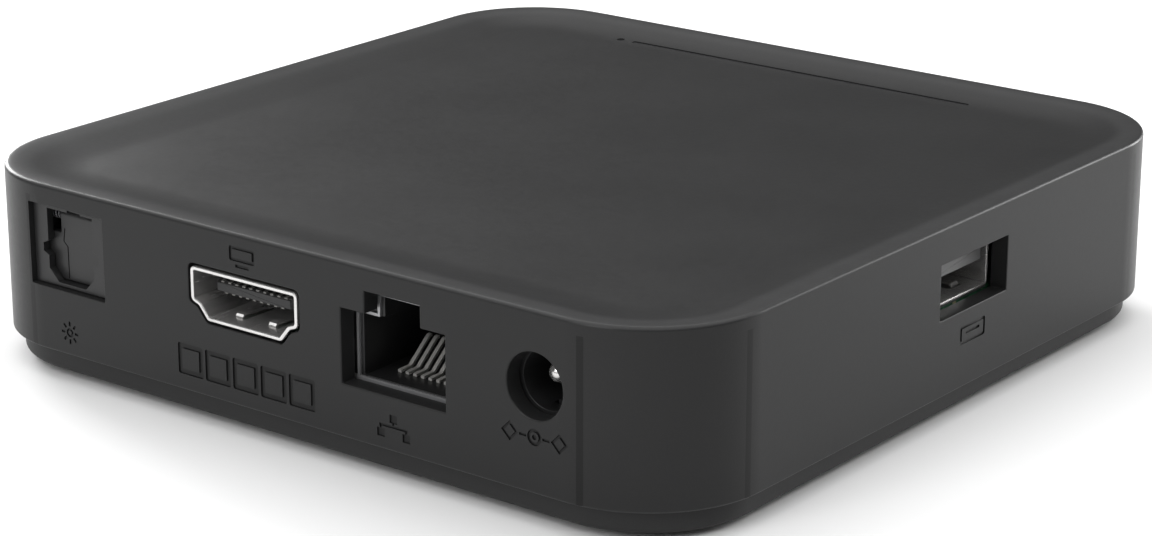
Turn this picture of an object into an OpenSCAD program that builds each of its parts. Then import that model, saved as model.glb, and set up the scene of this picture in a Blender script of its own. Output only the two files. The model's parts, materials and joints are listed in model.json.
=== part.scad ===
// Streaming media player: a square set-top box with a dished top, four sockets
// in its rear wall and one data socket in its left wall.
// The origin is under the middle of the body, at the underside of the feet.
// +Z is up, -Y is the front with the indicator line, +Y is the rear with the sockets.
// A depth is measured inwards from a wall's outer face, and a rise upwards from the base.

/* [Body] */
// Width of the body, left to right
body_w = 100; // [96:1:130]
// Depth of the body, front to rear
body_d = 100; // [96:1:130]
// Height of the body, from the base's underside to the rim
body_h = 21.8; // [21.8:0.1:30]
// Plan radius of the four corners
corner_r = 13.6; // [10:0.1:16]
// Thickness of the side walls
wall = 2.0; // [1.6:0.1:2.5]
// Thickness of the roof under the dish
roof = 1.3; // [1.0:0.1:1.6]
// Depth of the dish below the rim
dish_depth = 1.0; // [0.6:0.1:1.4]
// Width of the rim's flat land round the dish
rim_land = 0.5; // [0.3:0.1:1.0]
// Width of the dish's sloping border
dish_slope_w = 8; // [5:0.5:10]

/* [Base] */
// Height of the base band below the top shell's wall
band_h = 2.77; // [2.2:0.05:3.4]
// Distance that the base band is set back from the walls
band_inset = 1.27; // [0.8:0.05:1.6]
// Thickness of the base's floor
floor_t = 1.6; // [1.2:0.1:1.8]
// Thickness of the lip inside the top shell's wall
lip_t = 1.2; // [1.0:0.1:1.6]
// Height of the lip above the base band
lip_h = 2.5; // [1.5:0.1:4]
// Clearance between the lip and the wall
lip_gap = 0.15; // [0.1:0.05:0.3]
// Radius of each rubber foot
foot_r = 5; // [4:0.5:6]
// Height of a foot below the base
foot_proud = 0.8; // [0.6:0.1:1.2]
// Depth of a foot's recess in the base
foot_recess = 0.8; // [0.5:0.1:1.0]
// Clearance round a foot in its recess
foot_gap = 0.1; // [0.05:0.05:0.3]
// Length of a floor vent
vent_l = 14; // [10:1:18]
// Width of a floor vent
vent_w = 1.8; // [1.2:0.1:2.4]
// Distance between neighbouring vents
vent_pitch = 4; // [3.5:0.5:6]
// Number of vents in each of the two rows
vent_count = 9; // [5:1:11]
// Radius of the pinhole under the reset plunger
pinhole_r = 0.8; // [0.6:0.1:1.2]

/* [Case screws] */
// Radius of a screw's shank
screw_r = 1.25; // [1.0:0.05:1.5]
// Length of a screw's shank
screw_l = 12; // [10:0.5:14]
// Radius of a screw's head
screw_head_r = 2.2; // [1.9:0.1:2.6]
// Height of a screw's head
screw_head_h = 1.6; // [1.2:0.1:2.0]
// Outer radius of the posts and bosses that the screws clamp together
post_r = 3.2; // [3.1:0.1:3.6]
// Clearance round a shank in the post and the board
screw_gap = 0.25; // [0.15:0.05:0.4]
// Thickness of the post's shelf under the board
post_shelf = 5; // [4:0.5:6]
// Distance of the screws from the side walls
screw_from_side = 12; // [11:0.5:14]
// Distance of the front screws from the front wall
screw_from_front = 14; // [13:0.5:16]
// Distance of the rear screws from the rear wall, clear of the sockets
screw_from_rear = 24; // [23:0.5:28]

/* [Main board] */
// Rise of the board's top face above the base
board_rise = 11.4; // [10.5:0.1:12]
// Thickness of the board
board_t = 1.2; // [1.0:0.1:1.6]
// Clearance between the board and the walls
board_gap = 0.6; // [0.4:0.1:1.0]
// Clearance round a socket that is sunk through the board
sunk_gap = 0.2; // [0.1:0.05:0.4]

/* [Indicator] */
// Length of the indicator line
line_l = 50; // [30:1:60]
// Width of the indicator line
line_w = 0.65; // [0.5:0.05:1.2]
// Distance of the line from the front wall
line_from_front = 7.3; // [6:0.1:12]
// Distance of the status dot from the end of the line
dot_from_line = 2.0; // [1.5:0.1:4]
// Radius of the status dot
dot_r = 0.45; // [0.4:0.05:0.8]
// Clearance round the light guide and the lens
light_gap = 0.05; // [0.03:0.01:0.1]

/* [Power socket] */
// Distance of the power socket's axis from the left wall
power_from_side = 17.3; // [17:0.1:20]
// Rise of the power socket's axis
power_rise = 14.0; // [13.5:0.1:14.5]
// Radius of the round hole in the wall
power_hole_r = 3.45; // [3.3:0.05:3.8]
// Radius of the socket's bore, which the plug's barrel fills
power_bore_r = 3.15; // [2.9:0.05:3.3]
// Radius of the centre pin
power_pin_r = 1.05; // [0.85:0.05:1.3]
// Depth of the centre pin's tip
power_pin_depth = 3.0; // [2.5:0.1:4.5]

/* [Network socket] */
// Distance between the axes of the power and network sockets
network_from_power = 18.23; // [17.5:0.1:20]
// Width of the cut-out in the wall
network_cut_w = 13.76; // [13.2:0.1:14.5]
// Rise of the cut-out's lower edge
network_cut_rise = 8.63; // [8.3:0.1:8.8]
// Height of the cut-out, without the notch for the plug's latch
network_cut_h = 8.12; // [7.5:0.1:8.5]
// Width of the notch for the plug's latch
network_notch_w = 7.3; // [6.5:0.1:8]
// Height of the notch for the plug's latch
network_notch_h = 2.4; // [2:0.1:2.8]
// Depth of the socket's face
network_depth = 2.6; // [2.4:0.1:3.5]

/* [Video socket] */
// Distance of the video socket's axis from the optical socket's
video_from_optical = 26.45; // [24:0.1:28]
// Width of the video socket's shroud
video_w = 15.0; // [14.5:0.1:15.5]
// Height of the video socket's shroud
video_h = 5.55; // [5.3:0.05:5.8]
// Length of the video socket's shroud
video_l = 11.5; // [10:0.5:13]
// Thickness of the metal shrouds
shroud_t = 0.35; // [0.25:0.05:0.4]
// Clearance between the video shroud and the wall
video_gap = 0.4; // [0.3:0.05:0.6]

/* [Optical socket] */
// Distance of the optical socket's axis from the right wall
optical_from_side = 17.55; // [17:0.1:20]
// Width of the cut-out in the wall
optical_cut_w = 11.45; // [11:0.1:12]
// Rise of the cut-out's lower edge
optical_cut_rise = 10.1; // [9.8:0.1:10.3]
// Height of the cut-out
optical_cut_h = 9.37; // [9.2:0.1:9.5]
// Depth of the optical socket's face
optical_depth = 0.75; // [0.3:0.05:1.2]
// Height of the opening for the plug
optical_mouth = 8.3; // [8:0.1:8.5]
// Width of the optical socket's mouth
optical_mouth_w = 7.0; // [6.8:0.1:7.6]
// Radius of the shutter's hinge pin
shutter_pin_r = 0.4; // [0.3:0.05:0.5]
// Running clearance between the shutter and its pin
shutter_gap = 0.05; // [0.03:0.01:0.08]

/* [Data socket] */
// Distance of the data socket's axis in front of the middle
data_forward = 3.33; // [0:0.1:8]
// Width of the cut-out in the left wall
data_cut_w = 13.5; // [13.3:0.1:14.5]
// Rise of the cut-out's lower edge
data_cut_rise = 11.49; // [11.45:0.05:11.8]
// Height of the cut-out
data_cut_h = 6.18; // [6:0.05:6.6]
// Depth of the data socket's face
data_depth = 2.3; // [2.1:0.05:3.6]
// Width of the data socket's shroud
data_w = 13.1; // [12.8:0.1:13.3]
// Height of the data socket's shroud
data_h = 5.7; // [5.4:0.05:5.8]
// Length of the data socket's shroud
data_l = 14; // [12:0.5:16]

/* [Marks] */
// Depth of the engraved marks beside the sockets
mark_depth = 0.15; // [0.1:0.05:0.3]
// Width of the marks' strokes
mark_stroke = 0.35; // [0.25:0.05:0.5]
// Height of the small marks
mark_h = 2.1; // [1.6:0.1:2.6]
// Rise of the lower row of marks
mark_rise = 5.4; // [4.5:0.1:6]

/* [Reset switch] */
// Radius of the reset plunger
plunger_r = 1.75; // [1.4:0.05:2.2]
// Running clearance round the plunger
plunger_gap = 0.05; // [0.03:0.01:0.1]
// Travel of the plunger
plunger_travel = 0.25; // [0.2:0.05:0.35]

/* [Hidden] */
$fn = 48;
eps = 0.01;       // overshoot of a cut past the face it opens
fn_hull = 32;     // facets of a hull's round corners
fn_small = 24;    // facets of the small round pieces

// Heights in the frame, and the places of the walls' faces
base_z = foot_proud;
band_z = base_z + band_h;
floor_z = base_z + floor_t;
rim_z = base_z + body_h;
dish_z = rim_z - dish_depth;
roof_z = dish_z - roof;
board_z = base_z + board_rise;
board_under_z = board_z - board_t;
side_x = body_w / 2;
rear_y = body_d / 2;
lip_in = wall + lip_gap + lip_t;

// Screw places: two in front and two behind, the same left and right
screw_x = side_x - screw_from_side;
screw_front_y = -(rear_y - screw_from_front);
screw_rear_y = rear_y - screw_from_rear;
screw_places = [for (x = [-screw_x, screw_x], y = [screw_front_y, screw_rear_y]) [x, y]];
screw_head_z = board_under_z - post_shelf;

// Each foot hides a screw
foot_places = screw_places;
foot_t = foot_proud + foot_recess;

// Indicator line and dot
line_y = -(rear_y - line_from_front);
dot_x = line_l / 2 + dot_from_line;
lamp_size = [1.6, 0.8, 0.6];
lamp_gap = 0.4;
guide_foot_w = 6;
guide_shoulder = 0.8;
guide_flange = [0.6, 0.5];
guide_low_z = board_z + lamp_size[2] + lamp_gap;

// Power socket
power_x = -(side_x - power_from_side);
power_z = base_z + power_rise;
power_gap = 0.3;   // between the wall and the housing
power_size = [9, 14, 10.4];
power_bore_l = 9.5;
power_root_r = power_pin_r + 0.35;   // the pin is thicker where the housing holds it
power_y = rear_y - wall - power_gap;
power_low_z = power_z - power_size[2] / 2;
power_slot_w = 1.6;
power_spring_gap = 0.1;   // beside the side contact in its slot
power_contact_foot = 5.5;
power_contact_arm = 4.5;
power_tail_w = 2.0;
ear_size = [1.2, 5, 1.0];   // tabs that seat a housing on the board
power_slot_in = 2.0;
power_slot_l = 6.0;
power_spring_t = 0.25;
power_tail_t = 0.8;

// Network socket
network_x = power_x + network_from_power;
network_z = base_z + network_cut_rise;
network_size = [15.3, 16, 11.0];
network_low_z = network_z - 0.75;
network_shield_t = 0.25;
network_clear = 0.1;         // least gap between the shield and the inside of the wall
network_face_y = rear_y - max(network_depth, wall + network_shield_t + network_clear);
network_mouth_w = 12.1;
network_mouth_h = 6.8;
network_mouth_z = network_z + 0.4;
network_key_w = 6.3;
network_key_h = 2.3;
network_mouth_l = 12;
network_pitch = 1.02;
network_wire = 0.45;
network_contact_count = 8;
network_ear = [1.5, 5, 0.5];
network_ear_in = 6;
network_frame_w = 13.0;   // opening of the shield's front frame
network_frame_key_w = 7.2;
network_frame_rim = 0.3;
network_frame_lip = 0.13;   // how far the frame's lower edge stands below the mouth
network_wire_rise = 3.0;   // each wire lies flat for its tip, then rises over its run
network_wire_run = 3.0;
network_wire_tip = 1.65;
network_wire_in = 2.6;

// Video socket
optical_x = side_x - optical_from_side;
video_x = optical_x - video_from_optical;
video_z = board_z;
video_mouth_l = 7.5;
video_tongue_w = 10.8;
video_tongue_t = 1.3;
video_tongue_rise = 3.4;
video_tongue_depth = 1.6;
video_contact = [0.3, 5, 0.12];
video_row_pitch = 1.0;
video_upper_count = 10;
video_lower_count = 9;
video_contact_in = 0.4;     // distance of the contacts behind the tongue's tip
video_tab = [1.0, 5, 0.35];
video_tab_in = 1.9;
video_tab_slot = 0.3;       // slots on both sides of the lower tabs
video_low_tab_x = 2.35;
video_high_tab_x = 4.2;
insulator_fit = 0.02;
video_step_rise = 1.87;   // rise of the shroud's step on each side
video_step_in = 1.05;     // width of that step
video_foot_in = 2.3;      // inset of the shroud's narrow underside
video_step_drop = 0.37;   // fall across the step

// Optical socket
optical_z = base_z + optical_cut_rise;
optical_size = [11.2, 13.5, 9.0];
optical_low_z = optical_z + 0.12;
optical_face_y = rear_y - optical_depth;
optical_mouth_z = optical_low_z + 0.41;
optical_bevel = 1.4;
optical_notch = [0.8, 1.7, 0.9];   // depth, and its height at the mouth and at its bottom
optical_notch_rise = 3.7;
optical_top_notch = [2.0, 0.4, 0.55];
optical_top_notch_x = -0.65;
optical_plate_t = 0.85;
corner_sag = 0.5;   // extra depth where the cut-out reaches the rounded corner
cavity_w = 9.0;
cavity_l = 8.9;
cavity_h = optical_mouth - 0.05;
cavity_y = optical_face_y - optical_plate_t;
optical_back_y = optical_face_y - optical_size[1];
optical_axis_z = optical_mouth_z + optical_mouth / 2;
emitter_size = [8.6, 1.6, 7.6];
emitter_r = 1.2;
emitter_gap = 0.1;
emitter_back = 0.3;   // distance of the emitter's tip behind the cavity's wall
shutter_t = 0.8;
shutter_side_gap = 0.1;
shutter_barrel_r = shutter_pin_r + 0.3;
shutter_y = cavity_y - shutter_side_gap - shutter_barrel_r;
shutter_z = optical_mouth_z + cavity_h - shutter_side_gap - shutter_barrel_r;
shutter_low_z = optical_mouth_z + 0.1;
spring_wire_r = 0.1;
spring_r = shutter_barrel_r - spring_wire_r;
spring_w = 1.6;
spring_turns = 3;
spring_steps = 66;
spring_leg = 2.3;
spring_slope = 1.0;
spring_room = 2.0;
spring_end_gap = 0.05;
spring_sweep = 360 * spring_turns + 135;
optical_ear_in = 6;

// Marks
mark_z = base_z + mark_rise;
mark_high_z = rim_z - 2.5;
mark_power_z = base_z + 8.7;
mark_data_z = base_z + 8.7;
strip_size = [20, 3.5];
strip_frames = 5;
strip_stroke = 0.6;

// Data socket
data_y = -data_forward;
data_z = base_z + data_cut_rise + data_cut_h / 2;
data_face_x = -(side_x - data_depth);
data_mouth_l = 9.5;
data_seat_in = 0.2;
data_back_t = 1;
data_tongue_w = 11.1;
data_tongue_t = 1.9;
data_tongue_drop = 0.5;
data_tongue_depth = 0.9;
data_contact = [7, 1.0, 0.15];
data_contact_pitch = 2.2;
data_contact_count = 4;
data_contact_in = 1.0;      // distance of the contacts behind the tongue's tip
data_tab = [4.5, 1.4, 0.3];
data_tab_in = 1.5;
data_tab_y = 2.8;
data_inner = [data_w - 2 * shroud_t, data_h - 2 * shroud_t];

// Parts on the board: each place is the middle of its footprint
processor_size = [17, 17, 1.4];
processor_at = [4, 0];
pad_size = [16, 16, 0.5];
sink_size = [38, 38, 1.5];
fin_t = 1.0;
fin_h = 3.2;
fin_count = 9;
sink_pin_r = 1.25;
sink_pin_gap = 0.15;
sink_pin_head_r = 2.2;
sink_pin_in = 3.5;
sink_pin_barb_r = 1.7;
memory_size = [9, 13, 1.0];
memory_at = [[-9.5, -7.5], [-9.5, 7.5], [17.5, -7.5], [17.5, 7.5]];
storage_size = [11.5, 13, 1.0];
storage_at = [-24, -27];
regulator_size = [5, 4, 1.5];
regulator_at = [[-24, -6], [-24, -13], [29, 14]];
network_chip_size = [7, 7, 0.9];
transformer_size = [13, 8.5, 5.5];
transformer_from_socket = 1.5;
inductor_size = [6.6, 6.6, 3.0];
inductor_at = [[-24, 11], [-24, 2.5]];
capacitor_r = 3.15;
capacitor_h = 5.8;
capacitor_at = [[-33, 11.2], [-35, -17], [20, 30]];
crystal_size = [11.4, 4.7, 3.5];
crystal_at = [31, 3];
wireless_at = [32, -16];
wireless_size = [14, 12, 0.8];
wireless_shield_size = [9, 10, 1.6];
chip_size = [1.0, 0.5, 0.5];
chip_rows_y = [-22.5, 22.5];
chip_pitch = 1.8;
chip_count = 10;
receiver_x = 32;
receiver_size = [5.6, 3.0, 6.0];
receiver_eye_r = 1.6;
antenna_t = 0.6;
antenna_l = 30;
antenna_h = 5.5;
antenna_rise = 2.0;
antenna_1_y = -8;
antenna_2_x = -18;
lead_r = 0.45;
lead_plug_r = 1.2;
lead_plug_h = 1.2;
lead_plugs_at = [[37.6, -14], [37.6, -18.5]];
reset_at = [24, 30];
reset_size = [6, 6, 3.2];
reset_lid_t = 0.5;
plunger_flange = 0.5;
plunger_out = 0.9;

// A rectangle with its four corners rounded
module rounded_rect(w, d, r) {
    square([w - 2 * r, d], center = true);
    square([w, d - 2 * r], center = true);
    for (x = [-1, 1], y = [-1, 1])
        translate([x * (w / 2 - r), y * (d / 2 - r)]) circle(r, $fn = 96);
}

// The body's outline drawn in by inset, from the height z and h high
module body_plate(inset, z, h) {
    translate([0, 0, z]) linear_extrude(h)
        rounded_rect(body_w - 2 * inset, body_d - 2 * inset, corner_r - inset);
}

// A block centred on at, standing on the height z
module block(at, z, size) {
    translate([at[0] - size[0] / 2, at[1] - size[1] / 2, z]) cube(size);
}

// A block that runs inwards from the rear, with its rear face at the given y
module rear_block(x, y, z, size) {
    translate([x - size[0] / 2, y - size[1], z]) cube(size);
}

// An upright cylinder at a place on the board
module upright(at, z, r, h, sides = $fn) {
    translate([at[0], at[1], z]) cylinder(r = r, h = h, $fn = sides);
}

// A cylinder that runs inwards from the rear
module rear_rod(x, y, z, r, l) {
    translate([x, y, z]) rotate([90, 0, 0]) cylinder(r = r, h = l);
}

// Turns an outline in X and Z into a solid that runs inwards from the rear face y
module rear_extrude(x, y, z, l) {
    translate([x, y, z]) rotate([90, 0, 0]) linear_extrude(l) children();
}

function unit(v) = v / norm(v);
function path_way(p, i) =
    unit(p[min(i + 1, len(p) - 1)] - p[max(i - 1, 0)]);

// A round wire along a path, as rings square to it; across is never along the path
module wire(path, r, across, sides = 8) {
    count = len(path);
    points = [for (i = [0:count - 1])
        let (way = path_way(path, i), u = unit(cross(way, across)), v = cross(way, u))
        for (k = [0:sides - 1]) path[i] + r * (cos(k * 360 / sides) * u + sin(k * 360 / sides) * v)];
    walls = [for (i = [0:count - 2], k = [0:sides - 1])
        let (a = i * sides + k, b = i * sides + (k + 1) % sides) [a, b, b + sides, a + sides]];
    ends = [[for (k = [sides - 1:-1:0]) k], [for (k = [0:sides - 1]) (count - 1) * sides + k]];
    polyhedron(points, concat([for (f = walls) [f[3], f[2], f[1], f[0]]],
        [for (f = ends) [for (k = [sides - 1:-1:0]) f[k]]]));
}

// ---- Casing ----

// The dish's sloping border and floor, cut down from the rim
module dish() {
    hull() {
        body_plate_hull(rim_land, rim_z + eps);
        body_plate_hull(rim_land + dish_slope_w, dish_z);
    }
}

// A thin plate with the body's outline drawn in by inset, for the dish's hull
module body_plate_hull(inset, z) {
    for (x = [-1, 1], y = [-1, 1])
        translate([x * (side_x - corner_r), y * (rear_y - corner_r), z])
            cylinder(r = corner_r - inset, h = eps, $fn = 4 * fn_hull);
}

// The video shroud's outline, with its underside on the X axis, drawn in by inset
module video_outline(inset = 0) {
    half = video_w / 2;
    points = [
        [half, video_h], [half, video_step_rise],
        [half - video_step_in, video_step_rise - video_step_drop], [half - video_foot_in, 0]
    ];
    offset(delta = -inset)
        polygon(concat(points, [for (i = [3:-1:0]) [-points[i][0], points[i][1]]]));
}

// The optical plug's outline: a square with its lower corners bevelled
module optical_outline() {
    half = optical_mouth_w / 2;
    right = [
        [half - optical_bevel, 0], [half, optical_bevel],
        [half, optical_notch_rise - optical_notch[1] / 2],
        [half + optical_notch[0], optical_notch_rise - optical_notch[2] / 2],
        [half + optical_notch[0], optical_notch_rise + optical_notch[2] / 2],
        [half, optical_notch_rise + optical_notch[1] / 2], [half, optical_mouth]
    ];
    polygon(concat(right, [for (i = [len(right) - 1:-1:0]) [-right[i][0], right[i][1]]]));
}

// ---- Marks: plain pictures cut into the walls beside the sockets ----

module frame_outline(size, stroke = mark_stroke) {
    difference() {
        square(size, center = true);
        square([size[0] - 2 * stroke, size[1] - 2 * stroke], center = true);
    }
}

// Light: a ring with rays, for the optical socket
module mark_light() {
    ring_r = mark_h / 4;
    difference() {
        circle(ring_r);
        circle(ring_r - mark_stroke * 0.7);
    }
    for (i = [0:7]) rotate(i * 45)
        translate([ring_r + mark_stroke, -mark_stroke * 0.4]) square([mark_h / 4, mark_stroke * 0.8]);
}

// Screen on a stand, for the video socket
module mark_screen() {
    frame_outline([1.6 * mark_h, mark_h * 0.75]);
    translate([0, -mark_h * 0.5]) square([mark_h * 0.8, mark_stroke], center = true);
}

// A row of frames, as on a film, under the video socket
module mark_strip() {
    frame_w = strip_size[0] / strip_frames;
    for (i = [0:strip_frames - 1]) translate([(i - (strip_frames - 1) / 2) * frame_w, 0])
        frame_outline([frame_w - mark_stroke, strip_size[1]], strip_stroke);
}

// Three linked boxes, for the network socket
module mark_links() {
    box = 0.9;
    for (x = [-1.6, 0, 1.6]) translate([x, x == 0 ? 0.65 : -0.65]) square(box, center = true);
    translate([0, -0.02]) square([3.6, mark_stroke * 0.8], center = true);
    for (x = [-1.6, 1.6]) translate([x, -0.2]) square([mark_stroke * 0.8, 0.6], center = true);
}

// A ring between two boxes, for the round power socket
module mark_power() {
    difference() {
        circle(mark_h / 2 * 0.8);
        circle(mark_h / 2 * 0.8 - mark_stroke);
    }
    circle(mark_stroke);
    for (s = [-1, 1]) {
        translate([s * 3.1, 0]) rotate(45) frame_outline([1.3, 1.3]);
        translate([s * 1.55, 0]) square([1.3, mark_stroke * 0.8], center = true);
    }
}

// A slot in a frame, for the data socket
module mark_slot() {
    frame_outline([2.2 * mark_h, mark_h]);
    translate([0, mark_h * 0.1]) square([1.3 * mark_h, mark_stroke], center = true);
}

module rear_mark(x, z) {
    rear_extrude(x, rear_y + eps, z, mark_depth + eps) mirror([1, 0]) children();
}

module marks() {
    rear_mark(optical_x, mark_z) mark_light();
    rear_mark(video_x, mark_high_z) mark_screen();
    rear_mark(video_x, mark_z + strip_size[1] / 4) mark_strip();
    rear_mark(network_x, mark_z) mark_links();
    rear_mark(power_x, mark_power_z) mark_power();
    translate([-side_x - eps, data_y, mark_data_z]) rotate([90, 0, 90])
        linear_extrude(mark_depth + eps) mark_slot();
}

// The cut-outs in the rear and left walls
module socket_cuts() {
    cut = wall + 2 * eps;
    rear_rod(power_x, rear_y + eps, power_z, power_hole_r, cut);
    rear_block(network_x, rear_y + eps, network_z, [network_cut_w, cut, network_cut_h]);
    rear_block(network_x, rear_y + eps, network_z, [network_notch_w, cut, network_cut_h + network_notch_h]);
    rear_extrude(video_x, rear_y + eps, video_z, cut) video_outline(-video_gap);
    rear_block(optical_x, rear_y + eps, optical_z, [optical_cut_w, cut + corner_sag, optical_cut_h]);
    translate([-side_x - eps, data_y - data_cut_w / 2, data_z - data_cut_h / 2])
        cube([cut, data_cut_w, data_cut_h]);
}

module top_shell() {
    boss_fit = 0.01;
    color("#353638") difference() {
        union() {
            difference() {
                body_plate(0, band_z, rim_z - band_z);
                body_plate(wall, band_z - eps, roof_z - band_z + eps);
            }
            for (at = screw_places) upright(at, board_z, post_r, roof_z - board_z + eps);
        }
        dish();
        for (at = screw_places)
            upright(at, board_z - eps, screw_r + boss_fit, screw_head_z + screw_l - board_z + 0.5);
        socket_cuts();
        marks();
        block([0, line_y], roof_z - eps, [line_l + 2 * light_gap, line_w + 2 * light_gap, roof + dish_depth]);
        upright([dot_x, line_y], roof_z - eps, dot_r + light_gap, roof + dish_depth, fn_small);
    }
}

module floor_vents() {
    for (row = [-1, 1], i = [0:vent_count - 1])
        block([(i - (vent_count - 1) / 2) * vent_pitch, row * (vent_l / 2 + vent_pitch)],
            base_z - eps, [vent_w, vent_l, floor_t + 2 * eps]);
}

module base_cover() {
    color("#2e2f31") difference() {
        union() {
            difference() {
                union() {
                    body_plate(band_inset, base_z, band_h);
                    body_plate(wall + lip_gap, base_z, band_h + lip_h);
                }
                body_plate(lip_in, floor_z, band_h + lip_h);
            }
            for (at = screw_places) upright(at, base_z, post_r, board_under_z - base_z);
        }
        for (at = screw_places) {
            upright(at, base_z - eps, screw_r + screw_gap, board_under_z - base_z + 2 * eps);
            upright(at, base_z - eps, screw_head_r + screw_gap, screw_head_z - base_z + eps);
        }
        for (at = foot_places) upright(at, base_z - eps, foot_r + foot_gap, foot_recess + eps);
        floor_vents();
        upright(reset_at, base_z - eps, pinhole_r, floor_t + 2 * eps, fn_small);
    }
}

module foot(i) {
    color("#1c1c1d") upright(foot_places[i], 0, foot_r, foot_t);
}

module case_screws() {
    slot = [0.7, 2.6];
    slot_h = 0.8;
    color("#b9bbbe") for (at = screw_places) difference() {
        union() {
            upright(at, screw_head_z - screw_head_h, screw_head_r, screw_head_h);
            upright(at, screw_head_z - eps, screw_r, screw_l);
        }
        for (size = [slot, [slot[1], slot[0]]])
            block(at, screw_head_z - screw_head_h - eps, [size[0], size[1], slot_h]);
    }
}

// ---- Indicator ----

// A blade that carries the lamp's light up to the line, hung by a flange under the roof
module light_guide() {
    wide = line_l / 2;
    shoulder_z = roof_z - guide_shoulder;
    color("#6d7073") {
        translate([0, line_y + line_w / 2, 0]) rotate([90, 0, 0])
            linear_extrude(line_w) polygon([
                [-wide, dish_z], [wide, dish_z], [wide, shoulder_z], [guide_foot_w / 2, guide_low_z],
                [-guide_foot_w / 2, guide_low_z], [-wide, shoulder_z]
            ]);
        block([0, line_y], roof_z - guide_flange[1],
            [line_l, line_w + 2 * guide_flange[0], guide_flange[1]]);
    }
}

module status_lens() {
    color("#d8dadc") {
        upright([dot_x, line_y], guide_low_z, dot_r, dish_z - guide_low_z, fn_small);
        upright([dot_x, line_y], roof_z - guide_flange[1], dot_r + guide_flange[0], guide_flange[1], fn_small);
    }
}

module indicator_lamps() {
    color("#e9e4c8") for (x = [-2, 0, 2, dot_x]) block([x, line_y], board_z, lamp_size);
}

// ---- Main board ----

module main_board() {
    inset = wall + board_gap;
    color("#1f5a3a") difference() {
        body_plate(inset, board_under_z, board_t);
        for (at = screw_places)
            upright(at, board_under_z - eps, screw_r + screw_gap, board_t + 2 * eps);
        for (at = sink_pin_places)
            upright(at, board_under_z - eps, sink_pin_r + sink_pin_gap, board_t + 2 * eps, fn_small);
        sunk_cut(network_x, network_face_y, network_size[0] + 2 * network_shield_t,
            network_size[1] + network_shield_t);
        sunk_cut(power_x, power_y, power_size[0], power_size[1]);
        sunk_cut(optical_x, cavity_y, optical_size[0], optical_size[1] - optical_plate_t);
    }
}

// A notch in the board's rear edge for a socket that is sunk through it
module sunk_cut(x, y, w, l) {
    translate([x - w / 2 - sunk_gap, y - l - sunk_gap, board_under_z - eps])
        cube([w + 2 * sunk_gap, l + wall + board_gap, board_t + 2 * eps]);
}

module processor() {
    lid = [13, 13, 0.5];
    substrate_h = processor_size[2] - lid[2];
    color("#2b4a3c") block(processor_at, board_z, [processor_size[0], processor_size[1], substrate_h]);
    color("#303234") block(processor_at, board_z + substrate_h, lid);
}

module thermal_pad() {
    color("#8d97a6") block(processor_at, board_z + processor_size[2], pad_size);
}

sink_z = board_z + processor_size[2] + pad_size[2];
sink_pin_places = [for (s = [-1, 1])
    processor_at + s * [sink_size[0] / 2 - sink_pin_in, sink_size[1] / 2 - sink_pin_in]];

module heat_sink() {
    fin_pitch = (sink_size[0] - fin_t) / (fin_count - 1);
    color("#24262a") difference() {
        union() {
            block(processor_at, sink_z, sink_size);
            for (i = [0:fin_count - 1])
                block([processor_at[0] + (i - (fin_count - 1) / 2) * fin_pitch, processor_at[1]],
                    sink_z + sink_size[2] - eps, [fin_t, sink_size[1], fin_h]);
        }
        for (at = sink_pin_places) {
            upright(at, sink_z - eps, sink_pin_r + sink_pin_gap, sink_size[2] + 2 * eps, fn_small);
            upright(at, sink_z + sink_size[2], sink_pin_head_r + 0.4, fin_h + eps);
        }
    }
}

module heat_sink_pins() {
    head_h = 1.0;
    barb_h = 1.2;
    top = sink_z + sink_size[2];
    color("#e8e8e4") for (at = sink_pin_places) {
        upright(at, board_under_z - eps, sink_pin_r, top - board_under_z + 2 * eps, fn_small);
        upright(at, top, sink_pin_head_r, head_h);
        upright(at, board_under_z - barb_h, sink_pin_barb_r, barb_h, fn_small);
    }
}

module memory_chips() {
    color("#232427") for (at = memory_at) block(at, board_z, memory_size);
}

module storage_chip() {
    color("#26272a") block(storage_at, board_z, storage_size);
}

module regulator_chips() {
    color("#222326") for (at = regulator_at) block(at, board_z, regulator_size);
}

network_chip_at = [network_x - 15, 21];

module network_chip() {
    color("#222326") block(network_chip_at, board_z, network_chip_size);
}

module network_transformer() {
    y = network_face_y - network_size[1] - network_shield_t - transformer_from_socket;
    color("#1d1e20") rear_block(network_x, y, board_z, transformer_size);
}

module power_inductors() {
    winding_r = 2.7;
    base_h = 0.8;
    color("#4a4b4f") for (at = inductor_at) {
        block(at, board_z, [inductor_size[0], inductor_size[1], base_h]);
        upright(at, board_z + base_h - eps, winding_r, inductor_size[2] - base_h);
    }
}

module filter_capacitors() {
    seat_h = 0.9;
    color("#c3c6ca") for (at = capacitor_at) {
        block(at, board_z, [2 * capacitor_r, 2 * capacitor_r, seat_h]);
        upright(at, board_z + seat_h - eps, capacitor_r - 0.1, capacitor_h - seat_h);
    }
}

module chip_capacitors() {
    color("#b79a72") for (y = chip_rows_y, i = [0:chip_count - 1])
        block([processor_at[0] + (i - (chip_count - 1) / 2) * chip_pitch, y], board_z, chip_size);
}

module crystal() {
    r = crystal_size[1] / 2;
    color("#cfd1d4") translate([crystal_at[0], crystal_at[1], board_z]) linear_extrude(crystal_size[2])
        union() {
            square([crystal_size[0] - 2 * r, crystal_size[1]], center = true);
            for (s = [-1, 1]) translate([s * (crystal_size[0] / 2 - r), 0]) circle(r);
        }
}

// ---- Wireless ----

module wireless_board() {
    color("#1d3f6e") block(wireless_at, board_z, wireless_size);
}

module wireless_shield() {
    aside = (wireless_size[0] - wireless_shield_size[0]) / 2 - 0.5;
    color("#c9ccd0") block([wireless_at[0] - aside, wireless_at[1]], board_z + wireless_size[2],
        wireless_shield_size);
}

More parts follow.
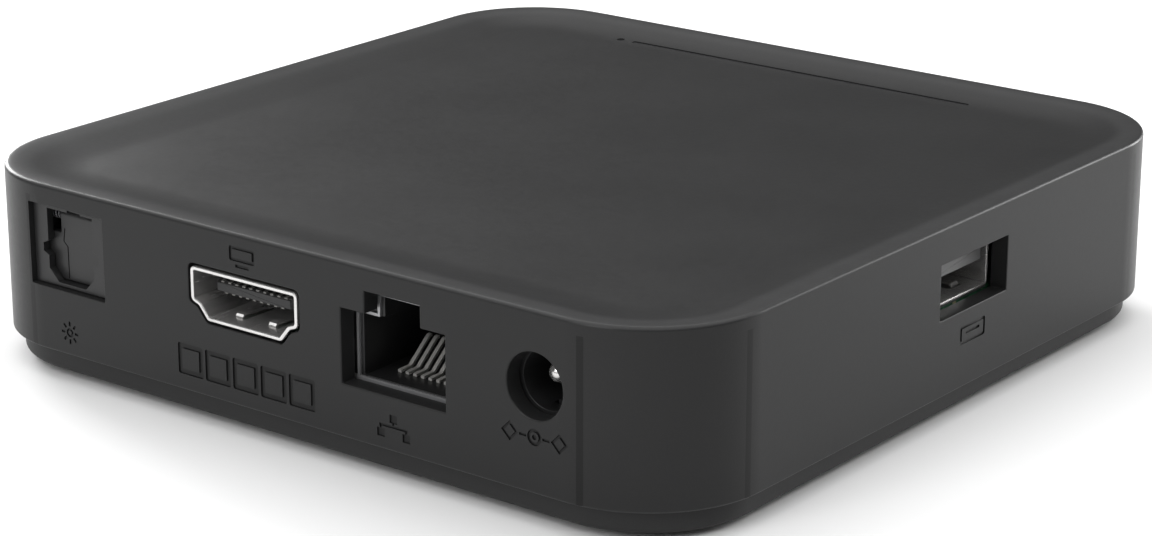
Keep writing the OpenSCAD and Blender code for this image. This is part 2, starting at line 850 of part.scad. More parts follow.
lead_plug_z = board_z + wireless_size[2];
lead_z = lead_plug_z + lead_plug_h / 2;
antenna_z = board_z + antenna_rise;

module lead_plugs() {
    color("#d9b65c") for (at = lead_plugs_at) upright(at, lead_plug_z, lead_plug_r, lead_plug_h, fn_small);
}

module antenna_1() {
    color("#30343a") block([side_x - wall - antenna_t / 2, antenna_1_y], antenna_z,
        [antenna_t, antenna_l, antenna_h]);
}

module antenna_2() {
    color("#30343a") block([antenna_2_x, -(rear_y - wall) + antenna_t / 2], antenna_z,
        [antenna_l, antenna_t, antenna_h]);
}

// The first lead runs from its plug to the middle of the right antenna
module antenna_lead_1() {
    from = lead_plugs_at[0];
    end_x = side_x - wall - antenna_t;
    color("#17181a") wire([
        [from[0] + lead_plug_r, from[1], lead_z],
        [from[0] + lead_plug_r + 1.5, from[1], lead_z],
        [from[0] + lead_plug_r + 3.5, from[1] + 1.5, lead_z + 1],
        [end_x - 3, antenna_1_y, lead_z + 2],
        [end_x - 1.2, antenna_1_y, lead_z + 2],
        [end_x, antenna_1_y, lead_z + 2]
    ], lead_r, [0, 0, 1]);
}

// The second lead passes behind the foot of the light guide to the front antenna
module antenna_lead_2() {
    from = lead_plugs_at[1];
    end_y = -(rear_y - wall - antenna_t);
    lead_2_z = lead_z + 2;
    color("#17181a") wire([
        [from[0], from[1] - lead_plug_r, lead_z],
        [from[0], from[1] - lead_plug_r - 1.5, lead_z],
        [from[0] - 3, -26, lead_2_z],
        [20, -30, lead_2_z],
        [0, -31, lead_2_z],
        [antenna_2_x + 4, -33, lead_2_z],
        [antenna_2_x, -37, lead_2_z],
        [antenna_2_x, end_y + 2, lead_2_z],
        [antenna_2_x, end_y, lead_2_z]
    ], lead_r, [0, 0, 1]);
}

module remote_receiver() {
    y = -(rear_y - wall - board_gap) + receiver_size[1] / 2 + receiver_eye_r;
    color("#1b1b1f") {
        block([receiver_x, y], board_z, receiver_size);
        upright([receiver_x, y - receiver_size[1] / 2], board_z, receiver_eye_r, receiver_size[2]);
    }
}

// ---- Reset switch ----

reset_low_z = board_under_z - reset_size[2];

module reset_switch() {
    well_h = plunger_flange + plunger_travel + plunger_gap;
    color("#b8babd") difference() {
        block(reset_at, reset_low_z, reset_size);
        upright(reset_at, reset_low_z - eps, plunger_r + plunger_gap, reset_lid_t + 2 * eps);
        upright(reset_at, reset_low_z + reset_lid_t, plunger_r + plunger_flange + plunger_gap, well_h);
    }
}

// The plunger stands out of the switch's underside and is pressed upwards
module reset_plunger() {
    flange_z = reset_low_z + reset_lid_t + plunger_gap / 2;
    color("#17181a") {
        upright(reset_at, reset_low_z - plunger_out, plunger_r, flange_z - reset_low_z + plunger_out + eps);
        upright(reset_at, flange_z, plunger_r + plunger_flange, plunger_flange);
    }
}

// ---- Video socket ----

module video_shroud() {
    color("#c8cacc") {
        difference() {
            rear_extrude(video_x, rear_y, video_z, video_l) video_outline();
            rear_extrude(video_x, rear_y + eps, video_z, video_l + 2 * eps) video_outline(shroud_t);
            for (s = [-1, 1], side = [-1, 1])
                rear_block(video_x + s * video_low_tab_x + side * (video_tab[0] + video_tab_slot) / 2,
                    rear_y - video_tab_in, video_z - eps, [video_tab_slot, video_tab[1], shroud_t + 2 * eps]);
        }
        for (s = [-1, 1])
            rear_block(video_x + s * video_low_tab_x, rear_y - video_tab_in, video_z + shroud_t - eps, video_tab);
        for (s = [-1, 1])
            rear_block(video_x + s * video_high_tab_x, rear_y - video_tab_in,
                video_z + video_h - shroud_t - video_tab[2] + eps, video_tab);
    }
}

module video_insulator() {
    tongue_z = video_z + video_tongue_rise - video_tongue_t / 2;
    color("#161617") {
        rear_extrude(video_x, rear_y - video_mouth_l, video_z, video_l - video_mouth_l) video_outline(shroud_t + insulator_fit);
        rear_block(video_x, rear_y - video_tongue_depth, tongue_z,
            [video_tongue_w, video_mouth_l - video_tongue_depth + eps, video_tongue_t]);
    }
}

module video_contacts() {
    y = rear_y - video_tongue_depth - video_contact_in;
    low_z = video_z + video_tongue_rise - video_tongue_t / 2 - video_contact[2];
    high_z = video_z + video_tongue_rise + video_tongue_t / 2;
    color("#c9c7c2") {
        for (i = [0:video_upper_count - 1])
            rear_block(video_x + (i - (video_upper_count - 1) / 2) * video_row_pitch, y, high_z, video_contact);
        for (i = [0:video_lower_count - 1])
            rear_block(video_x + (i - (video_lower_count - 1) / 2) * video_row_pitch, y, low_z, video_contact);
    }
}

// ---- Network socket ----

module network_housing() {
    key_z = network_mouth_z + network_mouth_h;
    color("#19191b") difference() {
        rear_block(network_x, network_face_y, network_low_z, network_size);
        rear_block(network_x, network_face_y + eps, network_mouth_z,
            [network_mouth_w, network_mouth_l, network_mouth_h]);
        rear_block(network_x, network_face_y + eps, key_z - eps,
            [network_key_w, network_mouth_l, network_key_h]);
    }
}

module network_frame_mouth() {
    low = network_mouth_z - network_frame_lip;
    key_z = network_mouth_z + network_mouth_h;
    translate([-network_frame_w / 2, low]) square([network_frame_w, key_z - low]);
    translate([-network_frame_key_w / 2, low]) square([network_frame_key_w, key_z - low + network_key_h]);
}

// A narrow rim round the mouth, on an apron below it that joins the shield's sides
module network_frame(w) {
    difference() {
        union() {
            offset(delta = network_frame_rim) network_frame_mouth();
            translate([-w / 2, network_low_z])
                square([w, network_mouth_z - network_frame_lip - network_low_z]);
        }
        network_frame_mouth();
    }
}

// A folded sheet over the top, sides and back, with a frame in front and ears on the board
module network_shield() {
    t = network_shield_t;
    w = network_size[0] + 2 * t;
    color("#bfc1c4") {
        difference() {
            rear_block(network_x, network_face_y + t - eps, network_low_z,
                [w, network_size[1] + 2 * t - eps, network_size[2] + t]);
            rear_block(network_x, network_face_y + t, network_low_z - eps,
                [network_size[0], network_size[1] + t, network_size[2] + eps]);
        }
        rear_extrude(network_x, network_face_y + t, 0, t) network_frame(w);
        for (s = [-1, 1])
            rear_block(network_x + s * (w / 2 + network_ear[0] / 2 - eps), network_face_y - network_ear_in,
                board_z, network_ear);
    }
}

// Springy wires that start low at the mouth and rise towards the back
module network_contacts() {
    from_y = network_face_y - network_wire_in;
    bend_y = from_y - network_wire_tip;
    end_y = bend_y - network_wire_run;
    low = network_mouth_z;
    t = network_wire;
    color("#c9c7c2") for (i = [0:network_contact_count - 1])
        translate([network_x + (i - (network_contact_count - 1) / 2) * network_pitch - t / 2, 0, 0])
            rotate([90, 0, 90]) linear_extrude(t) polygon([
                [from_y, low], [from_y, low + t], [bend_y, low + t], [end_y, low + network_wire_rise],
                [end_y - t, low + network_wire_rise - t / 2], [bend_y - t, low]
            ]);
}

// ---- Power socket ----

module power_housing() {
    color("#151516") {
        difference() {
            rear_block(power_x, power_y, power_low_z, power_size);
            rear_rod(power_x, power_y + eps, power_z, power_bore_r, power_bore_l);
            rear_rod(power_x, power_y, power_z, power_root_r, power_size[1] + eps);
            rear_block(power_x, power_y - power_slot_in, power_low_z - eps,
                [power_slot_w, power_slot_l, power_size[2] / 2]);
        }
        for (s = [-1, 1])
            rear_block(power_x + s * (power_size[0] / 2 + ear_size[0] / 2 - eps), power_y - ear_size[1],
                board_z, ear_size);
    }
}

// The pin has a domed tip, and a tail behind the housing
module power_pin() {
    tip_y = rear_y - power_pin_depth;
    bore_end_y = power_y - power_bore_l;
    end_y = power_y - power_size[1];
    color("#d5d7da") {
        rear_rod(power_x, tip_y - power_pin_r, power_z, power_pin_r, tip_y - power_pin_r - bore_end_y + eps);
        rear_rod(power_x, bore_end_y, power_z, power_root_r, bore_end_y - end_y);
        intersection() {
            translate([power_x, tip_y - power_pin_r, power_z]) sphere(power_pin_r);
            rear_block(power_x, tip_y, power_z - power_pin_r, [2 * power_pin_r, power_pin_r + eps, 2 * power_pin_r]);
        }
        rear_block(power_x, end_y, board_z, [power_tail_w, power_tail_t, power_z + power_pin_r - board_z]);
    }
}

// The side contact bears on the plug's barrel through the slot in the housing
module power_spring() {
    t = power_spring_t;
    w = power_slot_w - 2 * power_spring_gap;
    foot_y = power_y - power_slot_in - power_slot_l;
    touch = power_z - power_bore_r - power_low_z;
    color("#c8cacc") {
        rear_block(power_x, foot_y + power_contact_foot, power_low_z, [w, power_contact_foot, t]);
        rear_block(power_x, foot_y + power_contact_foot, power_low_z, [w, t, touch]);
        rear_block(power_x, foot_y + power_contact_foot, power_low_z + touch, [w, power_contact_arm, t]);
    }
}

// ---- Data socket ----

// Turns an outline in Y and Z into a solid that runs inwards from the left face x
module side_extrude(x, y, z, l) {
    translate([x, y, z]) rotate([90, 0, 90]) linear_extrude(l) children();
}

module data_shroud() {
    color("#cccdd0") {
        difference() {
            side_extrude(data_face_x, data_y, data_z, data_l) square([data_w, data_h], center = true);
            side_extrude(data_face_x - eps, data_y, data_z, data_l + 2 * eps) square(data_inner, center = true);
        }
        for (s = [-1, 1])
            translate([data_face_x + data_tab_in, data_y + s * data_tab_y - data_tab[1] / 2,
                data_z - data_inner[1] / 2 - eps]) cube(data_tab);
    }
}

module data_insulator() {
    seat_h = data_z - data_h / 2 - board_z;
    tongue_z = data_z + data_inner[1] / 2 - data_tongue_drop - data_tongue_t;
    color("#ececea") {
        side_extrude(data_face_x + data_mouth_l, data_y, data_z, data_l - data_mouth_l)
            square(data_inner, center = true);
        translate([data_face_x + data_tongue_depth, data_y - data_tongue_w / 2, tongue_z])
            cube([data_mouth_l - data_tongue_depth + eps, data_tongue_w, data_tongue_t]);
        translate([data_face_x + data_seat_in, data_y - data_w / 2, board_z])
            cube([data_l - data_seat_in + data_back_t, data_w, seat_h]);
        translate([data_face_x + data_l, data_y - data_w / 2, board_z]) cube([data_back_t, data_w, seat_h + data_h]);
    }
}

module data_contacts() {
    z = data_z + data_h / 2 - shroud_t - data_tongue_drop - data_tongue_t - data_contact[2];
    color("#c9c7c2") for (i = [0:data_contact_count - 1])
        translate([data_face_x + data_tongue_depth + data_contact_in,
            data_y + (i - (data_contact_count - 1) / 2) * data_contact_pitch - data_contact[1] / 2, z])
            cube(data_contact);
}

// ---- Optical socket ----

module optical_housing() {
    color("#141415") {
        difference() {
            rear_block(optical_x, optical_face_y, optical_low_z, optical_size);
            rear_extrude(optical_x, optical_face_y + eps, optical_mouth_z, optical_plate_t + 2 * eps)
                optical_outline();
            rear_block(optical_x + optical_top_notch_x, optical_face_y + eps,
                optical_low_z + optical_size[2] - optical_top_notch[2],
                optical_top_notch + [0, eps, eps]);
            rear_block(optical_x, cavity_y + eps, optical_mouth_z, [cavity_w, cavity_l, cavity_h]);
            rear_rod(optical_x, cavity_y, optical_axis_z, emitter_r + emitter_gap, optical_size[1]);
            translate([optical_x - optical_size[0] / 2, shutter_y, shutter_z]) rotate([0, 90, 0])
                translate([0, 0, -eps]) cylinder(r = shutter_pin_r, h = optical_size[0] + 2 * eps);
        }
        for (s = [-1, 1])
            rear_block(optical_x + s * (optical_size[0] / 2 + ear_size[0] / 2 - eps), optical_face_y - optical_ear_in,
                board_z, ear_size);
    }
}

// The shutter hangs from its pin behind the face plate and swings inwards
module optical_shutter() {
    w = cavity_w - 2 * shutter_side_gap;
    left = optical_x - w / 2;
    barrel_w = w - spring_room;
    color("#232324") difference() {
        union() {
            translate([left, shutter_y, shutter_z]) rotate([0, 90, 0])
                cylinder(r = shutter_barrel_r, h = barrel_w);
            translate([left, shutter_y + shutter_barrel_r - shutter_t, shutter_low_z])
                cube([w, shutter_t, shutter_z - shutter_low_z]);
        }
        translate([left - eps, shutter_y, shutter_z]) rotate([0, 90, 0])
            cylinder(r = shutter_pin_r + shutter_gap, h = barrel_w + 2 * eps);
        translate([left + barrel_w, shutter_y - shutter_t - 1, shutter_z - spring_room])
            cube([spring_room + eps, 2 * shutter_t + 2, 2 * spring_room]);
    }
}

module optical_hinge_pin() {
    color("#c8cacc") translate([optical_x - optical_size[0] / 2, shutter_y, shutter_z])
        rotate([0, 90, 0]) cylinder(r = shutter_pin_r, h = optical_size[0]);
}

// One leg lies along the cavity's top, and the other presses the shutter's back
module optical_spring() {
    from_x = optical_x + cavity_w / 2 - shutter_side_gap - spring_wire_r - spring_end_gap;
    turns = [for (i = [0:spring_steps]) let (a = i * spring_sweep / spring_steps)
        [from_x - spring_w * a / spring_sweep, shutter_y + spring_r * cos(90 - a), shutter_z + spring_r * sin(90 - a)]];
    last = turns[len(turns) - 1];
    slope_end = last - spring_slope * [0, sin(45), sin(45)];
    color("#d5d7da") wire(concat(
        [turns[0] - [0, spring_leg, 0], turns[0] - [0, spring_r / 2, 0]], turns,
        [slope_end, slope_end - [0, 0, spring_leg]]
    ), spring_wire_r, [1, 0, 0]);
}

module optical_emitter() {
    color("#2c1416") {
        rear_block(optical_x, optical_back_y, board_z, emitter_size);
        rear_rod(optical_x, cavity_y - cavity_l - emitter_back, optical_axis_z, emitter_r,
            optical_size[1] - optical_plate_t - cavity_l - emitter_back + eps);
    }
}

top_shell();
base_cover();
for (i = [0:3]) foot(i);
case_screws();
light_guide();
status_lens();
main_board();
processor();
thermal_pad();
heat_sink();
heat_sink_pins();
memory_chips();
storage_chip();
regulator_chips();
network_chip();
network_transformer();
power_inductors();
filter_capacitors();
chip_capacitors();
crystal();
wireless_board();
wireless_shield();
antenna_1();
antenna_2();
antenna_lead_1();
antenna_lead_2();
lead_plugs();
remote_receiver();
indicator_lamps();
reset_switch();
reset_plunger();
video_shroud();
video_insulator();
video_contacts();
network_housing();
network_shield();
network_contacts();
power_housing();
power_pin();
power_spring();
data_shroud();
data_insulator();
data_contacts();
optical_housing();
optical_shutter();
optical_hinge_pin();
optical_spring();
optical_emitter();
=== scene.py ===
import json
import math

import bmesh
import bpy
from bpy.props import FloatProperty, FloatVectorProperty, IntProperty, PointerProperty
from mathutils import Matrix, Vector


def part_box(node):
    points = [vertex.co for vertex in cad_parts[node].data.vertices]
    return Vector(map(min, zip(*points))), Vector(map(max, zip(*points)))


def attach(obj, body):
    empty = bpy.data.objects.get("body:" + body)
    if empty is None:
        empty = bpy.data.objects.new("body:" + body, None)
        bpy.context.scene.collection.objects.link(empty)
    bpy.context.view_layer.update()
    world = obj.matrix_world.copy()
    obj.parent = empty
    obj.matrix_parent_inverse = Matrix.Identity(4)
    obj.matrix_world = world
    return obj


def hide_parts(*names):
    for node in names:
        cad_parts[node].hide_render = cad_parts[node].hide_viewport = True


bl_info = {
    "name": "Streaming media player",
    "version": (1, 0, 0),
    "blender": (4, 5, 0),
    "location": "View3D > Sidebar > Media player",
    "description": "Builds the finished surfaces of a square set-top box on its CAD frame",
    "category": "Object",
}

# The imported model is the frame: every place below comes from its boxes.
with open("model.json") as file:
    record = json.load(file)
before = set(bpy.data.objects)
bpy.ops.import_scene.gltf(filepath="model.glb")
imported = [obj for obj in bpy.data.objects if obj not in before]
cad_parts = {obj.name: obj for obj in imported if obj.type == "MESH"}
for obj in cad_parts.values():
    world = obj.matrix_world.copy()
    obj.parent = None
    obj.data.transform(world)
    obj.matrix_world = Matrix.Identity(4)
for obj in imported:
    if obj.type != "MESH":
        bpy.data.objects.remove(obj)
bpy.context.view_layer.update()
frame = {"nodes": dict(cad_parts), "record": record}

MM = 0.001
CASE_LOW, CASE_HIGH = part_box("top_shell")
BASE_LOW, BASE_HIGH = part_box("base_cover")
SIDE_X = CASE_HIGH.x
REAR_Y = CASE_HIGH.y
RIM_Z = CASE_HIGH.z
BAND_Z = CASE_LOW.z
BASE_Z = BASE_LOW.z
BOARD_LOW, BOARD_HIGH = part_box("main_board")
LIP_Z = BAND_Z + 2.5 * MM
UP = (0, 0, 1)


def middle(node):
    """The centre of a CAD node's box."""
    low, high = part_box(node)
    return (low + high) / 2


def extent(node):
    """The size of a CAD node's box."""
    low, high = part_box(node)
    return high - low


# ---------------------------------------------------------------- sizes that a user can change


def length(name, description, default):
    """A length property given in millimetres and kept in metres."""
    return FloatProperty(
        name=name, description=description, default=default * MM, unit="LENGTH", precision=5
    )


def tint(name, description, default):
    """A colour property."""
    return FloatVectorProperty(
        name=name, description=description, default=default, subtype="COLOR", size=3, min=0, max=1
    )


class CaseSizes(bpy.types.PropertyGroup):
    """Sizes of the two halves of the casing"""

    corner_radius: length("Corner radius", "Plan radius of the four corners", 13.6)
    wall: length("Wall", "Thickness of the side walls", 2.0)
    roof: length("Roof", "Thickness of the roof under the dish", 1.3)
    rim_radius: length("Rim radius", "Radius of the rim's outer edge", 0.45)
    rim_land: length("Rim land", "Width of the flat top of the rim", 0.25)
    dish_depth: length("Dish depth", "Depth of the dish below the rim", 1.0)
    dish_border: length("Dish border", "Width of the dish's curved border", 8.5)
    skirt_radius: length("Skirt radius", "Radius of the wall's lower edge", 0.2)
    base_radius: length("Base radius", "Radius of the base's lower edge", 0.75)
    lip_gap: length("Lip gap", "Clearance between the base's lip and the wall", 0.15)
    lip: length("Lip", "Thickness of the base's lip", 1.2)
    floor: length("Floor", "Thickness of the base's floor", 1.6)
    mouth_radius: length("Mouth radius", "Radius of the edges of the cut-outs", 0.22)
    screw_radius: length("Screw radius", "Radius of a case screw's shank", 1.25)
    post_radius: length("Post radius", "Radius of the screw posts and bosses", 3.2)
    counterbore_radius: length("Counterbore radius", "Radius of the bore round a screw's head", 2.45)
    vent_length: length("Vent length", "Length of a floor vent", 14)
    vent_width: length("Vent width", "Width of a floor vent", 1.8)
    vent_pitch: length("Vent pitch", "Distance between neighbouring vents", 4)
    vent_count: IntProperty(name="Vents", description="Vents in each row", default=9, min=1)
    pinhole_radius: length("Pinhole radius", "Radius of the hole under the reset button", 0.8)


class SocketSizes(bpy.types.PropertyGroup):
    """Sizes of the cut-outs and of the sockets in them"""

    power_hole: length("Power hole", "Radius of the round hole in the wall", 3.45)
    network_width: length("Network width", "Width of the network cut-out", 13.76)
    network_height: length("Network height", "Height of the network cut-out", 8.12)
    network_rise: length("Network rise", "Height of its lower edge above the base", 8.63)
    notch_width: length("Notch width", "Width of the notch for the latch", 7.3)
    notch_height: length("Notch height", "Height of the notch for the latch", 2.4)
    video_gap: length("Video gap", "Clearance between the video shroud and the wall", 0.4)
    optical_width: length("Optical width", "Width of the optical cut-out", 11.45)
    optical_height: length("Optical height", "Height of the optical cut-out", 9.37)
    optical_rise: length("Optical rise", "Height of its lower edge above the base", 10.1)
    data_width: length("Data width", "Width of the data cut-out", 13.5)
    data_height: length("Data height", "Height of the data cut-out", 6.18)
    sheet: length("Sheet", "Thickness of the metal shrouds", 0.35)
    contact_width: length("Contact width", "Width of a network contact", 0.45)
    contact_pitch: length("Contact pitch", "Distance between network contacts", 1.02)


class MarkSizes(bpy.types.PropertyGroup):
    """Sizes of the plain pictures engraved beside the sockets"""

    depth: length("Depth", "Depth of the marks", 0.15)
    stroke: length("Stroke", "Width of the marks' strokes", 0.35)
    height: length("Height", "Height of the small marks", 2.1)
    strip_width: length("Strip width", "Width of the row of frames", 20)
    strip_height: length("Strip height", "Height of the row of frames", 3.5)
    strip_stroke: length("Row stroke", "Width of the strokes of the row of frames", 0.6)
    strip_frames: IntProperty(name="Frames", description="Frames in the row", default=5, min=1)


class FinishColours(bpy.types.PropertyGroup):
    """Colours of the visible materials"""

    case: tint("Case", "Moulded plastic of the top shell", (0.0165, 0.0166, 0.0168))
    base: tint("Base", "Moulded plastic of the base", (0.026, 0.0261, 0.0263))
    socket: tint("Socket", "Black moulding of the sockets", (0.014, 0.014, 0.0144))
    nickel: tint("Nickel", "Plated sheet of the shrouds", (0.72, 0.71, 0.70))
    contact: tint("Contact", "Plated spring contacts", (0.70, 0.69, 0.66))
    rubber: tint("Rubber", "Rubber feet", (0.012, 0.012, 0.012))


class StageSettings(bpy.types.PropertyGroup):
    """The camera and the lights"""

    azimuth: FloatProperty(
        name="Azimuth", description="Direction of the camera round the object",
        default=math.radians(217.9), subtype="ANGLE",
    )
    elevation: FloatProperty(
        name="Elevation", description="Height of the camera above the horizon",
        default=math.radians(18.25), subtype="ANGLE",
    )
    distance: length("Distance", "Distance of the camera from its aim", 369.96)
    aim_right: length("Aim right", "Aim to the right of the base's middle", -0.845)
    aim_up: length("Aim up", "Aim above the base's middle", 6.126)
    lens: FloatProperty(name="Lens", description="Focal length in millimetres", default=99.67)
    overhead: FloatProperty(name="Overhead", description="Power of the overhead light", default=26.0)
    side: FloatProperty(name="Side", description="Power of the light on the left wall", default=8.0)
    far: FloatProperty(name="Far", description="Power of the light behind the dish", default=13.0)
    near: FloatProperty(name="Near", description="Power of the light into the sockets", default=5.0)
    sky: FloatProperty(name="Sky", description="Strength of the surrounding light", default=0.05)


def sizes(group):
    """One of the scene's property groups."""
    return getattr(bpy.context.scene, "media_player_" + group)


# ---------------------------------------------------------------- outlines and meshes


def rounded(corners, radius, steps=5):
    """A closed anticlockwise outline with each corner turned into an arc."""
    points = []
    for i, corner in enumerate(corners):
        corner = Vector(corner)
        back = Vector(corners[i - 1]) - corner
        ahead = Vector(corners[(i + 1) % len(corners)]) - corner
        half = back.angle(ahead) / 2
        reach = min(radius / math.tan(half), back.length * 0.48, ahead.length * 0.48)
        bow = reach * math.tan(half)
        back, ahead = back.normalized(), ahead.normalized()
        centre = corner + (back + ahead).normalized() * (bow / math.sin(half))
        start = corner + back * reach - centre
        turn = start.angle_signed(corner + ahead * reach - centre)
        for k in range(steps + 1):
            points.append(centre + Matrix.Rotation(-turn * k / steps, 2) @ start)
    return points


def grown(outline, amount):
    """An anticlockwise outline moved outwards by an amount."""
    outline = [Vector(point) for point in outline]
    moved = []
    for i, point in enumerate(outline):
        into = (point - outline[i - 1]).normalized()
        out = (outline[(i + 1) % len(outline)] - point).normalized()
        side_in, side_out = Vector((into.y, -into.x)), Vector((out.y, -out.x))
        moved.append(point + (side_in + side_out) * (amount / (1 + side_in.dot(side_out))))
    return moved


def rectangle(width, height, x=0.0, y=0.0):
    """The four corners of a rectangle centred on x and y, anticlockwise."""
    half_w, half_h = width / 2, height / 2
    return [
        (x - half_w, y - half_h), (x + half_w, y - half_h),
        (x + half_w, y + half_h), (x - half_w, y + half_h),
    ]


def quarter(steps):
    """Pairs (1 - cosine, 1 - sine) at even steps round a quarter circle."""
    for k in range(steps + 1):
        a = math.pi / 2 * k / steps
        yield 1 - math.cos(a), 1 - math.sin(a)


def ring(radius, sides=40):
    """A circle as an anticlockwise outline."""
    return [
        Vector((radius * math.cos(a), radius * math.sin(a)))
        for a in (2 * math.pi * k / sides for k in range(sides))
    ]


def body_outline(inset, steps=28):
    """The casing's plan, drawn in by an inset."""
    radius = max(sizes("case").corner_radius - inset, 0.2 * MM)
    half_x, half_y = SIDE_X - inset - radius, REAR_Y - inset - radius
    points = []
    for turn, (sx, sy) in enumerate(((1, 1), (-1, 1), (-1, -1), (1, -1))):
        for k in range(steps + 1):
            a = math.pi / 2 * (turn + k / steps)
            points.append(Vector((
                sx * half_x + radius * math.cos(a), sy * half_y + radius * math.sin(a),
            )))
    return points


class Builder:
    """Collects skins of rows in one mesh and turns them into an object."""

    def __init__(self):
        self.mesh = bmesh.new()

    def loft(self, rows, joined=False):
        """A skin over closed rows of points, capped at both ends or joined end to end."""
        rings = [[self.mesh.verts.new(p) for p in row] for row in rows]
        pairs = list(zip(rings, rings[1:]))
        if joined:
            pairs.append((rings[-1], rings[0]))
        count = len(rings[0])
        for low, high in pairs:
            for i in range(count):
                j = (i + 1) % count
                self.mesh.faces.new((low[i], low[j], high[j], high[i]))
        if not joined:
            self.mesh.faces.new(rings[0][::-1])
            self.mesh.faces.new(rings[-1])
        return self

    def block(self, low, high):
        """A box between two corners, as part of a larger piece."""
        corners = [(low[0], low[1]), (high[0], low[1]), (high[0], high[1]), (low[0], high[1])]
        return self.loft([[Vector((x, y, z)) for x, y in corners] for z in (low[2], high[2])])

    def turned(self, centre, axis, profile, sides=48):
        """A solid of revolution: profile holds (radius, distance along the axis)."""
        axis = Vector(axis).normalized()
        across = axis.orthogonal().normalized()
        over = axis.cross(across)
        rows = []
        for radius, along in profile:
            rows.append([
                Vector(centre) + axis * along + across * p.x + over * p.y
                for p in ring(radius, sides)
            ])
        return self.loft(rows)

    def rod(self, centre, axis, radius, reach, sides=48):
        """A plain round rod from a centre along an axis."""
        return self.turned(centre, axis, [(radius, 0), (radius, reach)], sides)

    def strip(self, path, thickness, width, place):
        """A flat strip bent along a path; place turns (along, up, across) into a point."""
        left = []
        right = []
        for i, point in enumerate(path):
            before = Vector(path[max(i - 1, 0)])
            after = Vector(path[min(i + 1, len(path) - 1)])
            way = (after - before).normalized()
            side = Vector((-way.y, way.x)) * thickness / 2
            left.append(Vector(point) + side)
            right.append(Vector(point) - side)
        outline = left + right[::-1]
        rows = [[place(p.x, p.y, side) for p in outline] for side in (-width / 2, width / 2)]
        return self.loft(rows)

    def done(self, name, sharp=math.radians(32)):
        """A linked object with its faces pointing outwards and its sharp edges marked."""
        bmesh.ops.remove_doubles(self.mesh, verts=self.mesh.verts, dist=1e-7)
        bmesh.ops.recalc_face_normals(self.mesh, faces=self.mesh.faces)
        data = bpy.data.meshes.new(name)
        self.mesh.to_mesh(data)
        self.mesh.free()
        piece = bpy.data.objects.new(name, data)
        bpy.context.scene.collection.objects.link(piece)
        shade(piece, sharp)
        return piece


def shade(piece, sharp):
    """Smooth faces with sharp edges past an angle, weighted by face size."""
    mesh = bmesh.new()
    mesh.from_mesh(piece.data)
    for face in mesh.faces:
        face.smooth = True
    for edge in mesh.edges:
        edge.smooth = len(edge.link_faces) == 2 and edge.calc_face_angle(0) < sharp
    mesh.to_mesh(piece.data)
    mesh.free()
    if "Even shading" not in piece.modifiers:
        even = piece.modifiers.new("Even shading", "WEIGHTED_NORMAL")
        even.keep_sharp = True
        even.weight = 80


def applied(piece):
    """The piece with its modifiers made part of its mesh."""
    graph = bpy.context.evaluated_depsgraph_get()
    data = bpy.data.meshes.new_from_object(piece.evaluated_get(graph))
    piece.modifiers.clear()
    old = piece.data
    piece.data = data
    bpy.data.meshes.remove(old)
    return piece


def combine(piece, tool, operation, self_crossing=False):
    """Cuts or joins a closed tool mesh, then throws the tool away."""
    piece.modifiers.clear()
    step = piece.modifiers.new(operation, "BOOLEAN")
    step.operation = operation
    step.solver = "EXACT"
    step.use_self = self_crossing
    step.object = tool
    applied(piece)
    bpy.data.objects.remove(tool)
    return piece


def tidy(piece, sharp=math.radians(32)):
    """Cleans a cut mesh and shades it again."""
    mesh = bmesh.new()
    mesh.from_mesh(piece.data)
    bmesh.ops.remove_doubles(mesh, verts=mesh.verts, dist=2e-7)
    bmesh.ops.dissolve_degenerate(mesh, edges=mesh.edges, dist=2e-7)
    mesh.to_mesh(piece.data)
    mesh.free()
    shade(piece, sharp)
    return piece


def on_rear(x, y, z):
    """A place function for outlines drawn in X and Z on the rear wall, at a depth."""
    return lambda p, depth: Vector((x + p.x, y - depth, z + p.y))


def on_left(x, y, z):
    """A place function for outlines drawn in Y and Z on the left wall, at a depth."""
    return lambda p, depth: Vector((x + depth, y - p.x, z + p.y))


def flared(builder, corners, fillet, place, depth, radius, steps=4):
    """A cutter whose mouth widens along a quarter circle, to round the cut's edge."""

    def outline(wider):
        shape = grown(corners, wider)
        return rounded(shape, fillet, 3) if fillet else shape

    rows = [[place(p, -1 * MM) for p in outline(radius)]]
    for far, near in quarter(steps):
        rows.append([place(p, radius * far) for p in outline(radius * near)])
    rows.append([place(p, depth) for p in outline(0.0)])
    builder.loft(rows)


def prism(builder, outline, place, start, end):
    """A straight prism between two depths."""
    builder.loft([[place(p, depth) for p in outline] for depth in (start, end)])


def ready(piece, body, nodes=()):
    """Puts a finished piece on its body in place of its CAD nodes."""
    if nodes:
        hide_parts(*nodes)
    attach(piece, body)
    return piece


